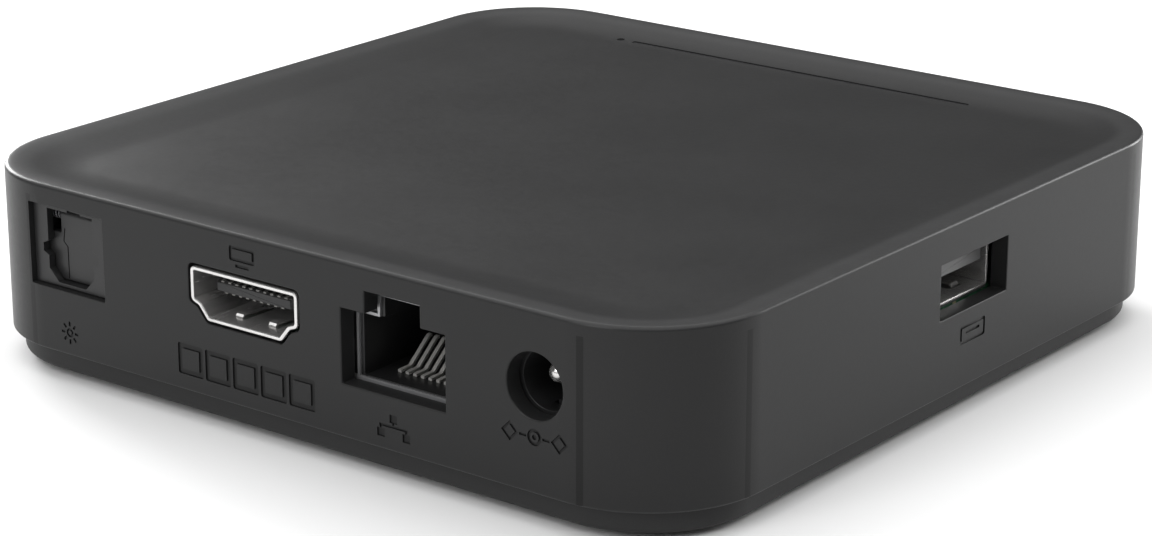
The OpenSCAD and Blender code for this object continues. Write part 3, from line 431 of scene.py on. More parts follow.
def repeated(name, source, count, pitch, start, slot=None):
    """A row of copies of a source mesh, made by Geometry Nodes and turned into a plain mesh."""
    tree = bpy.data.node_groups.new(name + " row", "GeometryNodeTree")
    face = tree.interface
    face.new_socket("Geometry", in_out="INPUT", socket_type="NodeSocketGeometry")
    inputs = {
        "Count": ("NodeSocketInt", count),
        "Pitch": ("NodeSocketVector", pitch),
        "Start": ("NodeSocketVector", start),
        "Finish": ("NodeSocketMaterial", FINISHES.get(slot)),
    }
    sockets = {
        label: face.new_socket(label, in_out="INPUT", socket_type=kind)
        for label, (kind, value) in inputs.items()
    }
    face.new_socket("Geometry", in_out="OUTPUT", socket_type="NodeSocketGeometry")
    given, line, copies, real, finish, result = (tree.nodes.new(kind) for kind in (
        "NodeGroupInput", "GeometryNodeMeshLine", "GeometryNodeInstanceOnPoints",
        "GeometryNodeRealizeInstances", "GeometryNodeSetMaterial", "NodeGroupOutput",
    ))
    for giver, output, taker, label in (
        (given, "Count", line, "Count"), (given, "Start", line, "Start Location"),
        (given, "Pitch", line, "Offset"), (line, "Mesh", copies, "Points"),
        (given, "Geometry", copies, "Instance"), (copies, "Instances", real, "Geometry"),
        (real, "Geometry", finish, "Geometry"), (given, "Finish", finish, "Material"),
        (finish, "Geometry", result, "Geometry"),
    ):
        tree.links.new(giver.outputs[output], taker.inputs[label])
    source.modifiers.clear()
    row = source.modifiers.new(name + " row", "NODES")
    row.node_group = tree
    for label, (kind, value) in inputs.items():
        row[sockets[label].identifier] = value
    applied(source)
    source.name = name
    shade(source, math.radians(32))
    return source


# ---------------------------------------------------------------- shader expressions


class Signal:
    """A shader socket that takes part in sums; numbers alone stay in Python."""

    def __init__(self, tree, socket):
        self.tree = tree
        self.socket = socket

    def sum(self, operation, first, second=0.0):
        """One maths node with two inputs, each a signal or a number."""
        node = self.tree.nodes.new("ShaderNodeMath")
        node.operation = operation
        for slot, value in zip(node.inputs, (first, second)):
            if isinstance(value, Signal):
                self.tree.links.new(value.socket, slot)
            else:
                slot.default_value = value
        return Signal(self.tree, node.outputs[0])

    def __add__(self, other):
        return self.sum("ADD", self, other)

    def __radd__(self, other):
        return self.sum("ADD", other, self)

    def __sub__(self, other):
        return self.sum("SUBTRACT", self, other)

    def __rsub__(self, other):
        return self.sum("SUBTRACT", other, self)

    def __mul__(self, other):
        return self.sum("MULTIPLY", self, other)

    def __rmul__(self, other):
        return self.sum("MULTIPLY", other, self)

    def above(self, level):
        """1 where the signal is past a level, and 0 elsewhere."""
        return self.sum("GREATER_THAN", self, level)


class Finish:
    """A material round one Principled shader, with short ways to add nodes."""

    def __init__(self, name, colour, roughness, metallic=0.0, **constants):
        self.material = bpy.data.materials.new(name)
        self.material.use_nodes = True
        self.material.diffuse_color = (*colour, 1)
        self.tree = self.material.node_tree
        self.shader = self.tree.nodes["Principled BSDF"]
        self.colour = colour
        self.roughness = roughness
        self.set("Base Color", (*colour, 1))
        self.set("Roughness", roughness)
        self.set("Metallic", metallic)
        for label, value in constants.items():
            self.set(label.replace("_", " "), value)
        place = self.tree.nodes.new("ShaderNodeTexCoord")
        self.place = Signal(self.tree, place.outputs["Object"])

    def set(self, label, value):
        """Gives one of the shader's own sockets a constant or a link."""
        socket = self.shader.inputs[label]
        if isinstance(value, Signal):
            self.tree.links.new(value.socket, socket)
        else:
            socket.default_value = value

    def node(self, kind, output, settings=None, **values):
        """Any node: its settings first, then the values or links of its inputs."""
        node = self.tree.nodes.new(kind)
        for label, value in (settings or {}).items():
            if label == "stops":
                while len(node.color_ramp.elements) < len(value):
                    node.color_ramp.elements.new(0.5)
                for element, (position, level) in zip(node.color_ramp.elements, value):
                    element.position = position
                    element.color = (level, level, level, 1)
            else:
                setattr(node, label, value)
        for label, value in values.items():
            key = int(label[1:]) if label[0] == "i" and label[1:].isdigit() else label.replace("_", " ")
            if isinstance(value, Signal):
                self.tree.links.new(value.socket, node.inputs[key])
            else:
                node.inputs[key].default_value = value
        return Signal(self.tree, node.outputs[output])

    def noise(self, scale, detail=2.0, stretch=None, offset=(0.0, 0.0, 0.0)):
        """Noise with features about 1 / scale metres across, stretched along an axis if asked."""
        place = self.node(
            "ShaderNodeMapping", "Vector", Vector=self.place, Location=offset,
            Scale=stretch or (1.0, 1.0, 1.0),
        )
        return self.node(
            "ShaderNodeTexNoise", "Fac", Vector=place, Scale=scale, Detail=detail, Roughness=0.55
        )

    def ramp(self, signal, *stops):
        """A grey ramp with stops of (position, level)."""
        return self.node("ShaderNodeValToRGB", "Color", {"stops": stops}, Fac=signal)

    def height(self):
        """The Z coordinate on the piece."""
        return self.node("ShaderNodeSeparateXYZ", "Z", Vector=self.place)

    def paint(self, mask, colour):
        """Lays a second colour over the base colour where the mask is 1."""
        link = self.shader.inputs["Base Color"].links
        under = Signal(self.tree, link[0].from_socket) if link else (*self.colour, 1)
        mixed = self.node(
            "ShaderNodeMix", 2, {"data_type": "RGBA"}, i0=mask, i6=under, i7=(*colour, 1)
        )
        self.set("Base Color", mixed)
        return self

    def gloss(self, signal, spread):
        """Varies the roughness by a signal about its middle."""
        self.set("Roughness", self.roughness + (signal - 0.5) * spread)
        return self

    def relief(self, signal, depth):
        """Raises the surface along a signal, by a depth in metres."""
        link = self.shader.inputs["Normal"].links
        values = {"Height": signal, "Distance": depth, "Strength": 1.0}
        if link:
            values["Normal"] = Signal(self.tree, link[0].from_socket)
        self.set("Normal", self.node("ShaderNodeBump", "Normal", **values))
        return self


def scaled(colour, factor):
    """A colour made lighter or darker."""
    return tuple(min(channel * factor, 1.0) for channel in colour)


def moulded(name, colour, roughness=0.5, grain=0.012, specular=0.2):
    """Moulded plastic: spark-eroded grain and faint flow shades."""
    finish = Finish(name, colour, roughness, Specular_IOR_Level=specular)
    fine = finish.noise(5200, 2)
    coarse = finish.noise(1500, 3)
    cloud = finish.noise(55, 3)
    finish.paint(finish.ramp(cloud, (0.35, 0.0), (0.7, 0.35)), scaled(colour, 1.22))
    finish.paint(finish.ramp(fine, (0.45, 0.0), (0.75, 0.5)), scaled(colour, 1.3))
    finish.gloss(coarse * 0.6 + cloud * 0.4, 0.16)
    finish.relief(fine * 0.6 + coarse * 0.4, grain * MM)
    return finish


def case_plastic():
    """The casing's plastic, with a painted highlight along the rim and the lower edge, and painted shade in
    the marks.
    """
    colour = sizes("colours").case
    finish = moulded("case_plastic", colour, 0.37, 0.006)
    height = finish.height()
    # Painted highlight: a lighter band just under the rim's top and just above the wall's lower edge, broken
    # up by noise.
    painted_edge_highlight = finish.node(
        "ShaderNodeMapRange", "Result", {"interpolation_type": "SMOOTHSTEP"},
        Value=height, From_Min=RIM_Z - 0.45 * MM, From_Max=RIM_Z - 0.1 * MM,
    )
    painted_edge_highlight = painted_edge_highlight + finish.node(
        "ShaderNodeMapRange", "Result", {"interpolation_type": "SMOOTHSTEP"},
        Value=height, From_Min=BAND_Z + 0.28 * MM, From_Max=BAND_Z + 0.1 * MM,
    )
    highlight_breakup = finish.noise(260, 4, offset=(0.7, 0.2, 0.4))
    finish.paint(painted_edge_highlight * (0.5 + highlight_breakup * 0.6), scaled(colour, 2.2))
    # Painted shade: the floors of the engraved marks on the rear and left walls, below the rim, are painted
    # darker.
    depth = sizes("marks").depth
    below = finish.node("ShaderNodeSeparateXYZ", "Y", Vector=finish.place)
    beside = finish.node("ShaderNodeSeparateXYZ", "X", Vector=finish.place)
    rear = (REAR_Y - 0.5 * depth - below).above(0) * (below - (REAR_Y - 1.2 * depth)).above(0)
    left = (beside + (SIDE_X - 0.5 * depth)).above(0) * (-1 * beside - (SIDE_X - 1.2 * depth)).above(0)
    low = (RIM_Z - 1.5 * MM - height).above(0)
    finish.paint((rear + left) * low, scaled(colour, 0.45))
    return finish.material


def plated(name, colour, roughness, along="y", metallic=1.0):
    """Plated sheet with faint draw lines along one axis and dulled patches."""
    finish = Finish(name, colour, roughness, metallic)
    stretch = {"x": (0.04, 1, 1), "y": (1, 0.04, 1), "z": (1, 1, 0.04)}[along]
    lines = finish.noise(6000, 2, stretch)
    patches = finish.noise(420, 3)
    finish.paint(finish.ramp(patches, (0.4, 0.0), (0.75, 0.5)), scaled(colour, 0.8))
    finish.gloss(lines * 0.6 + patches * 0.4, 0.22)
    finish.relief(lines, 0.003 * MM)
    return finish.material


def rubber_finish():
    """Soft rubber with a powdery bloom."""
    colour = sizes("colours").rubber
    finish = Finish("foot_rubber", colour, 0.82, Specular_IOR_Level=0.25)
    bloom = finish.noise(300, 4)
    finish.paint(finish.ramp(bloom, (0.45, 0.0), (0.75, 0.7)), scaled(colour, 2.2))
    finish.relief(finish.noise(4000, 3), 0.02 * MM)
    return finish.material


def board_finish():
    """Solder mask over tracks: lighter lines on a green ground."""
    colour = (0.012, 0.075, 0.035)
    finish = Finish("board_laminate", colour, 0.35, Coat_Weight=0.2)
    tracks = finish.node(
        "ShaderNodeTexBrick", "Fac", {"offset": 0.5, "squash": 1.0}, Vector=finish.place,
        Scale=260.0, Mortar_Size=0.03, Mortar_Smooth=0.2, Brick_Width=1.3, Row_Height=0.35,
    )
    pads = finish.node("ShaderNodeTexVoronoi", "Distance", Vector=finish.place, Scale=340.0)
    finish.paint(tracks * 0.8, (0.03, 0.16, 0.07))
    finish.paint(finish.ramp(pads, (0.10, 0.9), (0.14, 0.0)), (0.55, 0.5, 0.32))
    finish.gloss(finish.noise(500, 3), 0.2)
    finish.relief(tracks, 0.02 * MM)
    return finish.material


def chip_finish():
    """Moulded chip package: matt black with a fine even grain."""
    finish = Finish("chip_black", (0.018, 0.018, 0.019), 0.6)
    finish.paint(finish.ramp(finish.noise(3000, 2), (0.5, 0.0), (0.8, 0.8)), (0.035, 0.035, 0.037))
    finish.gloss(finish.noise(700, 3), 0.15)
    finish.relief(finish.noise(5000, 2), 0.008 * MM)
    return finish.material


def anodised_finish():
    """Black anodised aluminium with faint extrusion lines."""
    colour = (0.03, 0.03, 0.033)
    finish = Finish("sink_aluminium", colour, 0.42, metallic=0.6)
    lines = finish.noise(3500, 2, (1, 0.03, 1))
    finish.paint(finish.ramp(lines, (0.45, 0.0), (0.8, 0.6)), scaled(colour, 2.0))
    finish.gloss(lines, 0.2)
    return finish.material


def plain_moulding(name, colour, roughness, specular=0.5):
    """A small moulded or pressed piece: mottled colour, varied gloss and a slight skin."""
    finish = Finish(name, colour, roughness, Specular_IOR_Level=specular)
    mottle = finish.noise(800, 4)
    finish.paint(finish.ramp(mottle, (0.4, 0.0), (0.7, 0.5)), scaled(colour, 1.35))
    finish.gloss(mottle, 0.14)
    finish.relief(finish.noise(3500, 2), 0.006 * MM)
    return finish.material


def smoked_finish(name, colour, roughness):
    """Smoked clear plastic over the indicator lamps."""
    finish = Finish(name, colour, roughness, Coat_Weight=0.4, Coat_Roughness=0.1)
    haze = finish.noise(900, 3)
    finish.paint(finish.ramp(haze, (0.35, 0.0), (0.75, 0.6)), scaled(colour, 1.4))
    finish.gloss(haze, 0.12)
    return finish.material


def make_finishes():
    """Every material, by the name of its slot in the record."""
    colours = sizes("colours")
    return {
        "shell_plastic": case_plastic(),
        "base_plastic": moulded("base_plastic", colours.base, 0.52, 0.012).material,
        "foot_rubber": rubber_finish(),
        "screw_steel": plated("screw_steel", (0.62, 0.62, 0.64), 0.32, "z"),
        "guide_plastic": smoked_finish("guide_plastic", (0.02, 0.02, 0.021), 0.3),
        "lens_plastic": smoked_finish("lens_plastic", (0.015, 0.015, 0.016), 0.25),
        "board_laminate": board_finish(),
        "chip_black": chip_finish(),
        "pad_silicone": plain_moulding("pad_silicone", (0.30, 0.34, 0.40), 0.7),
        "sink_aluminium": anodised_finish(),
        "nylon_white": plain_moulding("nylon_white", (0.72, 0.72, 0.69), 0.45),
        "ferrite_grey": plain_moulding("ferrite_grey", (0.06, 0.06, 0.064), 0.55),
        "can_aluminium": plated("can_aluminium", (0.70, 0.71, 0.73), 0.28, "z"),
        "ceramic_tan": plain_moulding("ceramic_tan", (0.42, 0.30, 0.18), 0.5),
        "shield_tin": plated("shield_tin", (0.45, 0.45, 0.46), 0.4, "x", 0.7),
        "module_blue": plain_moulding("module_blue", (0.015, 0.05, 0.18), 0.4),
        "antenna_film": plain_moulding("antenna_film", (0.035, 0.04, 0.045), 0.5),
        "lead_black": plain_moulding("lead_black", (0.012, 0.012, 0.014), 0.45),
        "contact_gold": plated("contact_gold", (0.78, 0.58, 0.25), 0.25, "y"),
        "contact_tin": plated("contact_tin", colours.contact, 0.34, "y", 0.55),
        # Painted shade: the contact plating is darkened to 0.3 for the contacts deep inside the video socket.
        "contact_dull": plated("contact_dull", scaled(colours.contact, 0.3), 0.45, "y", 0.8),
        "lamp_cream": plain_moulding("lamp_cream", (0.75, 0.70, 0.50), 0.25),
        "socket_black": plain_moulding("socket_black", colours.socket, 0.38, 0.4),
        "socket_white": plain_moulding("socket_white", (0.10, 0.10, 0.10), 0.4),
        "shroud_nickel": plated("shroud_nickel", colours.nickel, 0.24, "y", 0.85),
        # Painted shade: the steel is painted near black so that the spring beside the optical door reads as a
        # dark channel.
        "spring_steel": plated("spring_steel", (0.10, 0.10, 0.105), 0.45, "x"),
        "emitter_red": smoked_finish("emitter_red", (0.10, 0.012, 0.012), 0.2),
    }


FINISHES = {}


def give(piece, slot):
    """Gives a piece its only material."""
    piece.data.materials.clear()
    piece.data.materials.append(FINISHES[slot])


def dressed(piece, body, nodes, slot):
    """Gives a piece its material and puts it on its body."""
    give(piece, slot)
    return ready(piece, body, nodes)


# ---------------------------------------------------------------- the casing


def case_rows():
    """The top shell's section, from the ceiling down its inside and up its outside."""
    case = sizes("case")
    roof_z = RIM_Z - case.dish_depth - case.roof
    skirt, rim, fillet = case.skirt_radius, case.rim_radius, 0.6 * MM
    section = [(case.wall + fillet, roof_z)]
    section.append((case.wall, roof_z - fillet))
    section.append((case.wall, BAND_Z))
    section += [(skirt * near, BAND_Z + skirt * far) for far, near in quarter(4)]
    section += [(rim * far, RIM_Z - rim * near) for far, near in quarter(6)]
    start = rim + case.rim_land
    border = 22
    for k in range(border + 1):
        t = k / border
        drop = case.dish_depth * (1 - math.cos(math.pi * t ** 0.8)) / 2
        section.append((start + case.dish_border * t, RIM_Z - drop))
    return [[Vector((p.x, p.y, z)) for p in body_outline(inset)] for inset, z in section]


def video_corners():
    """The corners of the video shroud about its middle, with narrow lower corners."""
    size = extent("video_shroud")
    half, height = size.x / 2, size.z
    step, step_in, foot_in, drop = 1.87 * MM, 1.05 * MM, 2.3 * MM, 0.37 * MM
    corners = [
        (foot_in - half, 0), (half - foot_in, 0), (half - step_in, step - drop), (half, step),
        (half, height), (-half, height), (-half, step), (step_in - half, step - drop),
    ]
    return [(x, z - height / 2) for x, z in corners]


def network_corners():
    """The network cut-out: a wide mouth with a notch above it for the latch."""
    socket = sizes("sockets")
    half, height = socket.network_width / 2, socket.network_height
    notch, top = socket.notch_width / 2, socket.network_height + socket.notch_height
    return [
        (-half, 0), (half, 0), (half, height), (notch, height),
        (notch, top), (-notch, top), (-notch, height), (-half, height),
    ]


def socket_cutters():
    """One mesh that cuts every socket's mouth through the walls."""
    case, socket = sizes("case"), sizes("sockets")
    tool = Builder()
    deep = case.wall + 0.6 * MM
    edge = case.mouth_radius
    fillet = 0.12 * MM
    power = on_rear(middle("power_housing").x, REAR_Y, middle("power_housing").z)
    flared(tool, ring(socket.power_hole, 56), 0, power, deep, edge)
    network = on_rear(middle("network_housing").x, REAR_Y, BASE_Z + socket.network_rise)
    flared(tool, network_corners(), fillet, network, deep, edge)
    video = middle("video_shroud")
    mouth = grown(video_corners(), socket.video_gap)
    flared(tool, mouth, 0.7 * MM, on_rear(video.x, REAR_Y, video.z), deep, 0.12 * MM)
    optical_z = BASE_Z + socket.optical_rise + socket.optical_height / 2
    optical = on_rear(middle("optical_housing").x, REAR_Y, optical_z)
    square = rectangle(socket.optical_width, socket.optical_height)
    flared(tool, square, fillet, optical, deep, edge * 0.6)
    data = middle("data_shroud")
    square = rectangle(socket.data_width, socket.data_height)
    flared(tool, square, fillet, on_left(-SIDE_X, data.y, data.z), deep, edge * 0.6)
    return tool


def indicator_cutters(tool):
    """Cuts the slot for the line and the hole for the dot down through the dish."""
    low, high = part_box("light_guide")
    lens_low, lens_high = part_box("status_lens")
    line_y = (low.y + high.y) / 2
    lens_x = (lens_low.x + lens_high.x) / 2
    below, above = high.z - 3 * MM, high.z + 2 * MM
    slot = rounded(rectangle(high.x - low.x + 0.1 * MM, 0.75 * MM), 0.35 * MM, 4)
    tool.loft([[Vector((p.x, line_y + p.y, z)) for p in slot] for z in (below, above)])
    tool.rod((lens_x, line_y, below), UP, 0.5 * MM, 5 * MM, 24)


class Marks:
    """Plain pictures for the sockets, drawn as prisms that cut a little into a wall."""

    def __init__(self):
        self.tool = Builder()
        self.size = sizes("marks")

    def shape(self, outline, place):
        points = [Vector(p) for p in outline]
        prism(self.tool, points, place, -0.5 * MM, self.size.depth)

    def box(self, place, width, height, x=0.0, y=0.0):
        self.shape(rectangle(width, height, x, y), place)

    def hollow(self, outer, inner, place):
        """A closed band between two outlines with the same number of points."""
        rows = [
            [place(p, depth) for p in outline]
            for outline, depth in (
                (outer, -0.5 * MM), (outer, self.size.depth), (inner, self.size.depth), (inner, -0.5 * MM)
            )
        ]
        self.tool.loft(rows, joined=True)

    def frame(self, place, width, height, x=0.0, y=0.0, stroke=None):
        outer = rounded(rectangle(width, height, x, y), 0.25 * MM, 3)
        less = 2 * (stroke or self.size.stroke)
        inner = rounded(rectangle(width - less, height - less, x, y), 0.05 * MM, 3)
        self.hollow(outer, inner, place)

    def light(self, place):
        """A ring with rays, for optical sound."""
        radius = self.size.height / 4
        self.hollow(ring(radius, 24), ring(radius * 0.5, 24), place)
        for k in range(8):
            turn = Matrix.Rotation(k * math.pi / 4, 2)
            ray = rectangle(self.size.height * 0.26, self.size.stroke * 0.8, radius * 1.95)
            self.shape([turn @ Vector(p) for p in ray], place)

    def screen(self, place):
        """A screen on its stand, for video."""
        tall = self.size.height
        self.frame(place, 1.7 * tall, 0.78 * tall, 0, 0.14 * tall)
        self.box(place, 0.9 * tall, self.size.stroke, 0, -0.48 * tall)

    def strip(self, place):
        """A row of frames, as on a film."""
        pitch = self.size.strip_width / self.size.strip_frames
        for k in range(self.size.strip_frames):
            x = (k - (self.size.strip_frames - 1) / 2) * pitch
            stroke = self.size.strip_stroke
            self.frame(place, pitch - self.size.stroke, self.size.strip_height, x, 0, stroke)

    def links(self, place):
        """Three boxes hung on one line, for a network."""
        stroke = self.size.stroke
        self.box(place, 3.8 * MM, stroke * 0.8)
        for x, side in ((-1.7 * MM, -1), (0, 1), (1.7 * MM, -1)):
            self.box(place, stroke * 0.8, 0.6 * MM, x, side * 0.3 * MM)
            self.box(place, 1.0 * MM, 0.9 * MM, x, side * 0.85 * MM)

    def power(self, place):
        """A ring with a dot between two turned boxes, for a round plug."""
        radius = self.size.height * 0.42
        self.hollow(ring(radius, 32), ring(radius - self.size.stroke, 32), place)
        self.shape(ring(self.size.stroke * 0.8, 16), place)
        for side in (-1, 1):
            turned = [Matrix.Rotation(math.pi / 4, 2) @ Vector(p) for p in rectangle(1.5 * MM, 1.5 * MM)]
            outer = [p + Vector((side * 3.1 * MM, 0)) for p in turned]
            self.hollow(outer, grown(outer, -self.size.stroke * 0.8), place)
            self.box(place, 0.9 * MM, self.size.stroke * 0.8, side * 1.45 * MM)

    def slot(self, place):
        """A bar in a frame, for a flat plug."""
        tall = self.size.height
        self.frame(place, 2.4 * tall, tall)
        self.box(place, 1.3 * tall, self.size.stroke * 0.9, 0, 0.08 * tall)


def all_marks():
    """The cutter for every mark on the two walls."""
    marks = Marks()
    low_row = BASE_Z + 5.4 * MM
    marks.light(on_rear(middle("optical_housing").x, REAR_Y, low_row))
    video_x = middle("video_shroud").x
    marks.screen(on_rear(video_x, REAR_Y, RIM_Z - 2.5 * MM))
    marks.strip(on_rear(video_x, REAR_Y, low_row + marks.size.strip_height / 4))
    marks.links(on_rear(middle("network_housing").x, REAR_Y, low_row))
    marks.power(on_rear(middle("power_pin").x, REAR_Y, BASE_Z + 8.7 * MM))
    marks.slot(on_left(-SIDE_X, middle("data_shroud").y, BASE_Z + 8.7 * MM))
    return marks.tool.done("marks")


SCREW_NODE = "case_screws"


def screw_places():
    """The centre and radius of each foot; a case screw stands over every foot."""
    low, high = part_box("foot_1")
    reach = (high.x - low.x) / 2
    places = []
    for number in (1, 2, 3, 4):
        low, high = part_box("foot_%d" % number)
        places.append(((low.x + high.x) / 2, (low.y + high.y) / 2, reach))
    return places


class PLAYER_OT_top_shell(bpy.types.Operator):
    """Makes the dished top shell with its walls, mouths and marks"""

    bl_idname = "player.top_shell"
    bl_label = "Top shell"

    def execute(self, context):
        case = sizes("case")
        shell = Builder().loft(case_rows()).done("case_top")
        bosses, bores = Builder(), Builder()
        bore_length = 7 * MM
        roof_z = RIM_Z - case.dish_depth - case.roof
        for x, y, _ in screw_places():
            length_up = roof_z - BOARD_HIGH.z + 0.3 * MM
            bosses.rod((x, y, BOARD_HIGH.z), UP, case.post_radius, length_up)
            bores.rod((x, y, BOARD_HIGH.z - MM), UP, case.screw_radius, bore_length)
        combine(shell, bosses.done("bosses"), "UNION")
        combine(shell, bores.done("bores"), "DIFFERENCE")
        tool = socket_cutters()
        indicator_cutters(tool)
        combine(shell, tool.done("mouths"), "DIFFERENCE")
        combine(shell, all_marks(), "DIFFERENCE", self_crossing=True)
        tidy(shell)
        dressed(shell, "player", ["top_shell"], "shell_plastic")
        return {"FINISHED"}


class PLAYER_OT_base_cover(bpy.types.Operator):
    """Makes the base cover with its band, lip, posts, vents and foot recesses"""

    bl_idname = "player.base_cover"
    bl_label = "Base cover"

    def execute(self, context):
        case = sizes("case")
        inset = SIDE_X - BASE_HIGH.x
        lip_out = case.wall + case.lip_gap
        lip_in = lip_out + case.lip
        floor_z = BASE_Z + case.floor
        section = [(lip_in + 0.4 * MM, floor_z), (lip_in, floor_z + 0.4 * MM), (lip_in, LIP_Z)]
        section += [(lip_out, LIP_Z), (lip_out, BAND_Z), (inset, BAND_Z)]
        radius = case.base_radius
        section += [(inset + radius * far, BASE_Z + radius * near) for far, near in quarter(6)]
        rows = [[Vector((p.x, p.y, z)) for p in body_outline(i)] for i, z in section]
        cover = Builder().loft(rows).done("base_shell")
        posts, bores = Builder(), Builder()
        top = BOARD_LOW.z - BASE_Z
        head, shank = 1.6 * MM, 1.5 * MM
        for x, y, reach in screw_places():
            centre = (x, y, BASE_Z)
            posts.turned(centre, UP, [(case.post_radius, MM), (case.post_radius, top)])
            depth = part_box("foot_1")[1].z - BASE_Z
            screw_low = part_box(SCREW_NODE)[0].z + head - BASE_Z
            bores.turned(centre, UP, [
                (reach + 0.3 * MM, -MM), (reach + 0.3 * MM, 0), (reach + 0.1 * MM, 0.2 * MM),
                (reach + 0.1 * MM, depth), (case.counterbore_radius, depth),
                (case.counterbore_radius, screw_low), (shank, screw_low), (shank, top + MM),
            ])
        reset = middle("reset_plunger")
        hole = case.pinhole_radius
        bores.turned((reset.x, reset.y, BASE_Z), UP, [
            (hole + 0.4 * MM, -MM), (hole + 0.4 * MM, 0), (hole, 0.4 * MM), (hole, case.floor + MM),
        ], 32)
        combine(cover, posts.done("posts"), "UNION")
        combine(cover, bores.done("foot bores"), "DIFFERENCE")
        for row in (-1, 1):
            combine(cover, self.vents(row), "DIFFERENCE")
        tidy(cover)
        dressed(cover, "player", ["base_cover"], "base_plastic")
        return {"FINISHED"}

    def vents(self, row):
        """One row of round-ended vent cutters with widened mouths."""
        case = sizes("case")
        slot = rounded(rectangle(case.vent_width, case.vent_length), case.vent_width * 0.47, 6)
        flare = 0.3 * MM
        tool = Builder()
        tool.loft([
            [Vector((p.x, p.y, BASE_Z + rise)) for p in grown(slot, wider)]
            for rise, wider in ((-MM, flare), (0, flare), (flare, 0), (case.floor + MM, 0))
        ])
        count, pitch = case.vent_count, case.vent_pitch
        start = (-(count - 1) / 2 * pitch, row * (case.vent_length / 2 + pitch), 0)
        return repeated("vents", tool.done("vent"), count, (pitch, 0, 0), start)


class PLAYER_OT_feet(bpy.types.Operator):
    """Makes the four round rubber feet"""

    bl_idname = "player.feet"
    bl_label = "Feet"

    def execute(self, context):
        for number, (x, y, reach) in enumerate(screw_places(), 1):
            node = "foot_%d" % number
            low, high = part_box(node)
            edge = 0.35 * MM
            profile = [(0.9 * MM, 0.3 * MM), (1.3 * MM, 0.05 * MM), (1.6 * MM, 0)]
            profile += [(reach - 1.4 * MM, 0), (reach - 1.25 * MM, 0.12 * MM), (reach - 1.05 * MM, 0.12 * MM)]
            profile += [(reach - 0.9 * MM, 0), (reach - edge, 0), (reach - 0.1 * MM, 0.1 * MM), (reach, edge)]
            profile += [(reach, high.z - low.z - 0.1 * MM), (reach - 0.1 * MM, high.z - low.z)]
            foot = Builder().turned((x, y, low.z), UP, profile, 72).done("rubber_foot_%d" % number)
            dressed(foot, "player", [node], "foot_rubber")
        return {"FINISHED"}


# ---------------------------------------------------------------- the sockets


BEAD = 0.1 * MM


def tube(builder, outer, sheet, place, length_in, rounding=0.1 * MM):
    """A folded sheet tube whose front edge is rounded and stands out a little."""
    inner = grown(outer, -sheet)
    rows = [[place(p, length_in) for p in outer], [place(p, 0.7 * MM) for p in outer]]
    outer = grown(outer, BEAD)
    rows += [[place(p, 0.45 * MM) for p in outer], [place(p, rounding) for p in outer]]
    rows.append([place(p, 0.3 * rounding) for p in grown(outer, -0.3 * rounding)])
    rows.append([place(p, 0.0) for p in grown(outer, -rounding)])
    rows.append([place(p, 0.0) for p in grown(inner, rounding)])
    rows.append([place(p, 0.3 * rounding) for p in grown(inner, 0.3 * rounding)])
    rows.append([place(p, rounding) for p in inner])
    rows.append([place(p, length_in) for p in inner])
    builder.loft(rows, joined=True)


def spring_tab(builder, place, path, thickness, width, x, z, turn=1):
    """A bent spring tab: its path holds (depth, rise above the sheet's middle)."""
    path = [(depth * MM, z + turn * rise * MM) for depth, rise in path]
    builder.strip(path, thickness, width, lambda along, up, across: place(Vector((x + across, up)), along))


LOW_TAB = [
    (6.8, 0), (6.2, 0.05), (5.0, 0.3), (3.0, 0.55), (2.35, 0.58), (2.05, 0.5), (1.92, 0.34), (1.9, 0.1),
]
HIGH_TAB = [(6.4, 0), (5.8, 0.04), (4.6, 0.22), (3.0, 0.32), (2.0, 0.2), (1.7, 0.08)]


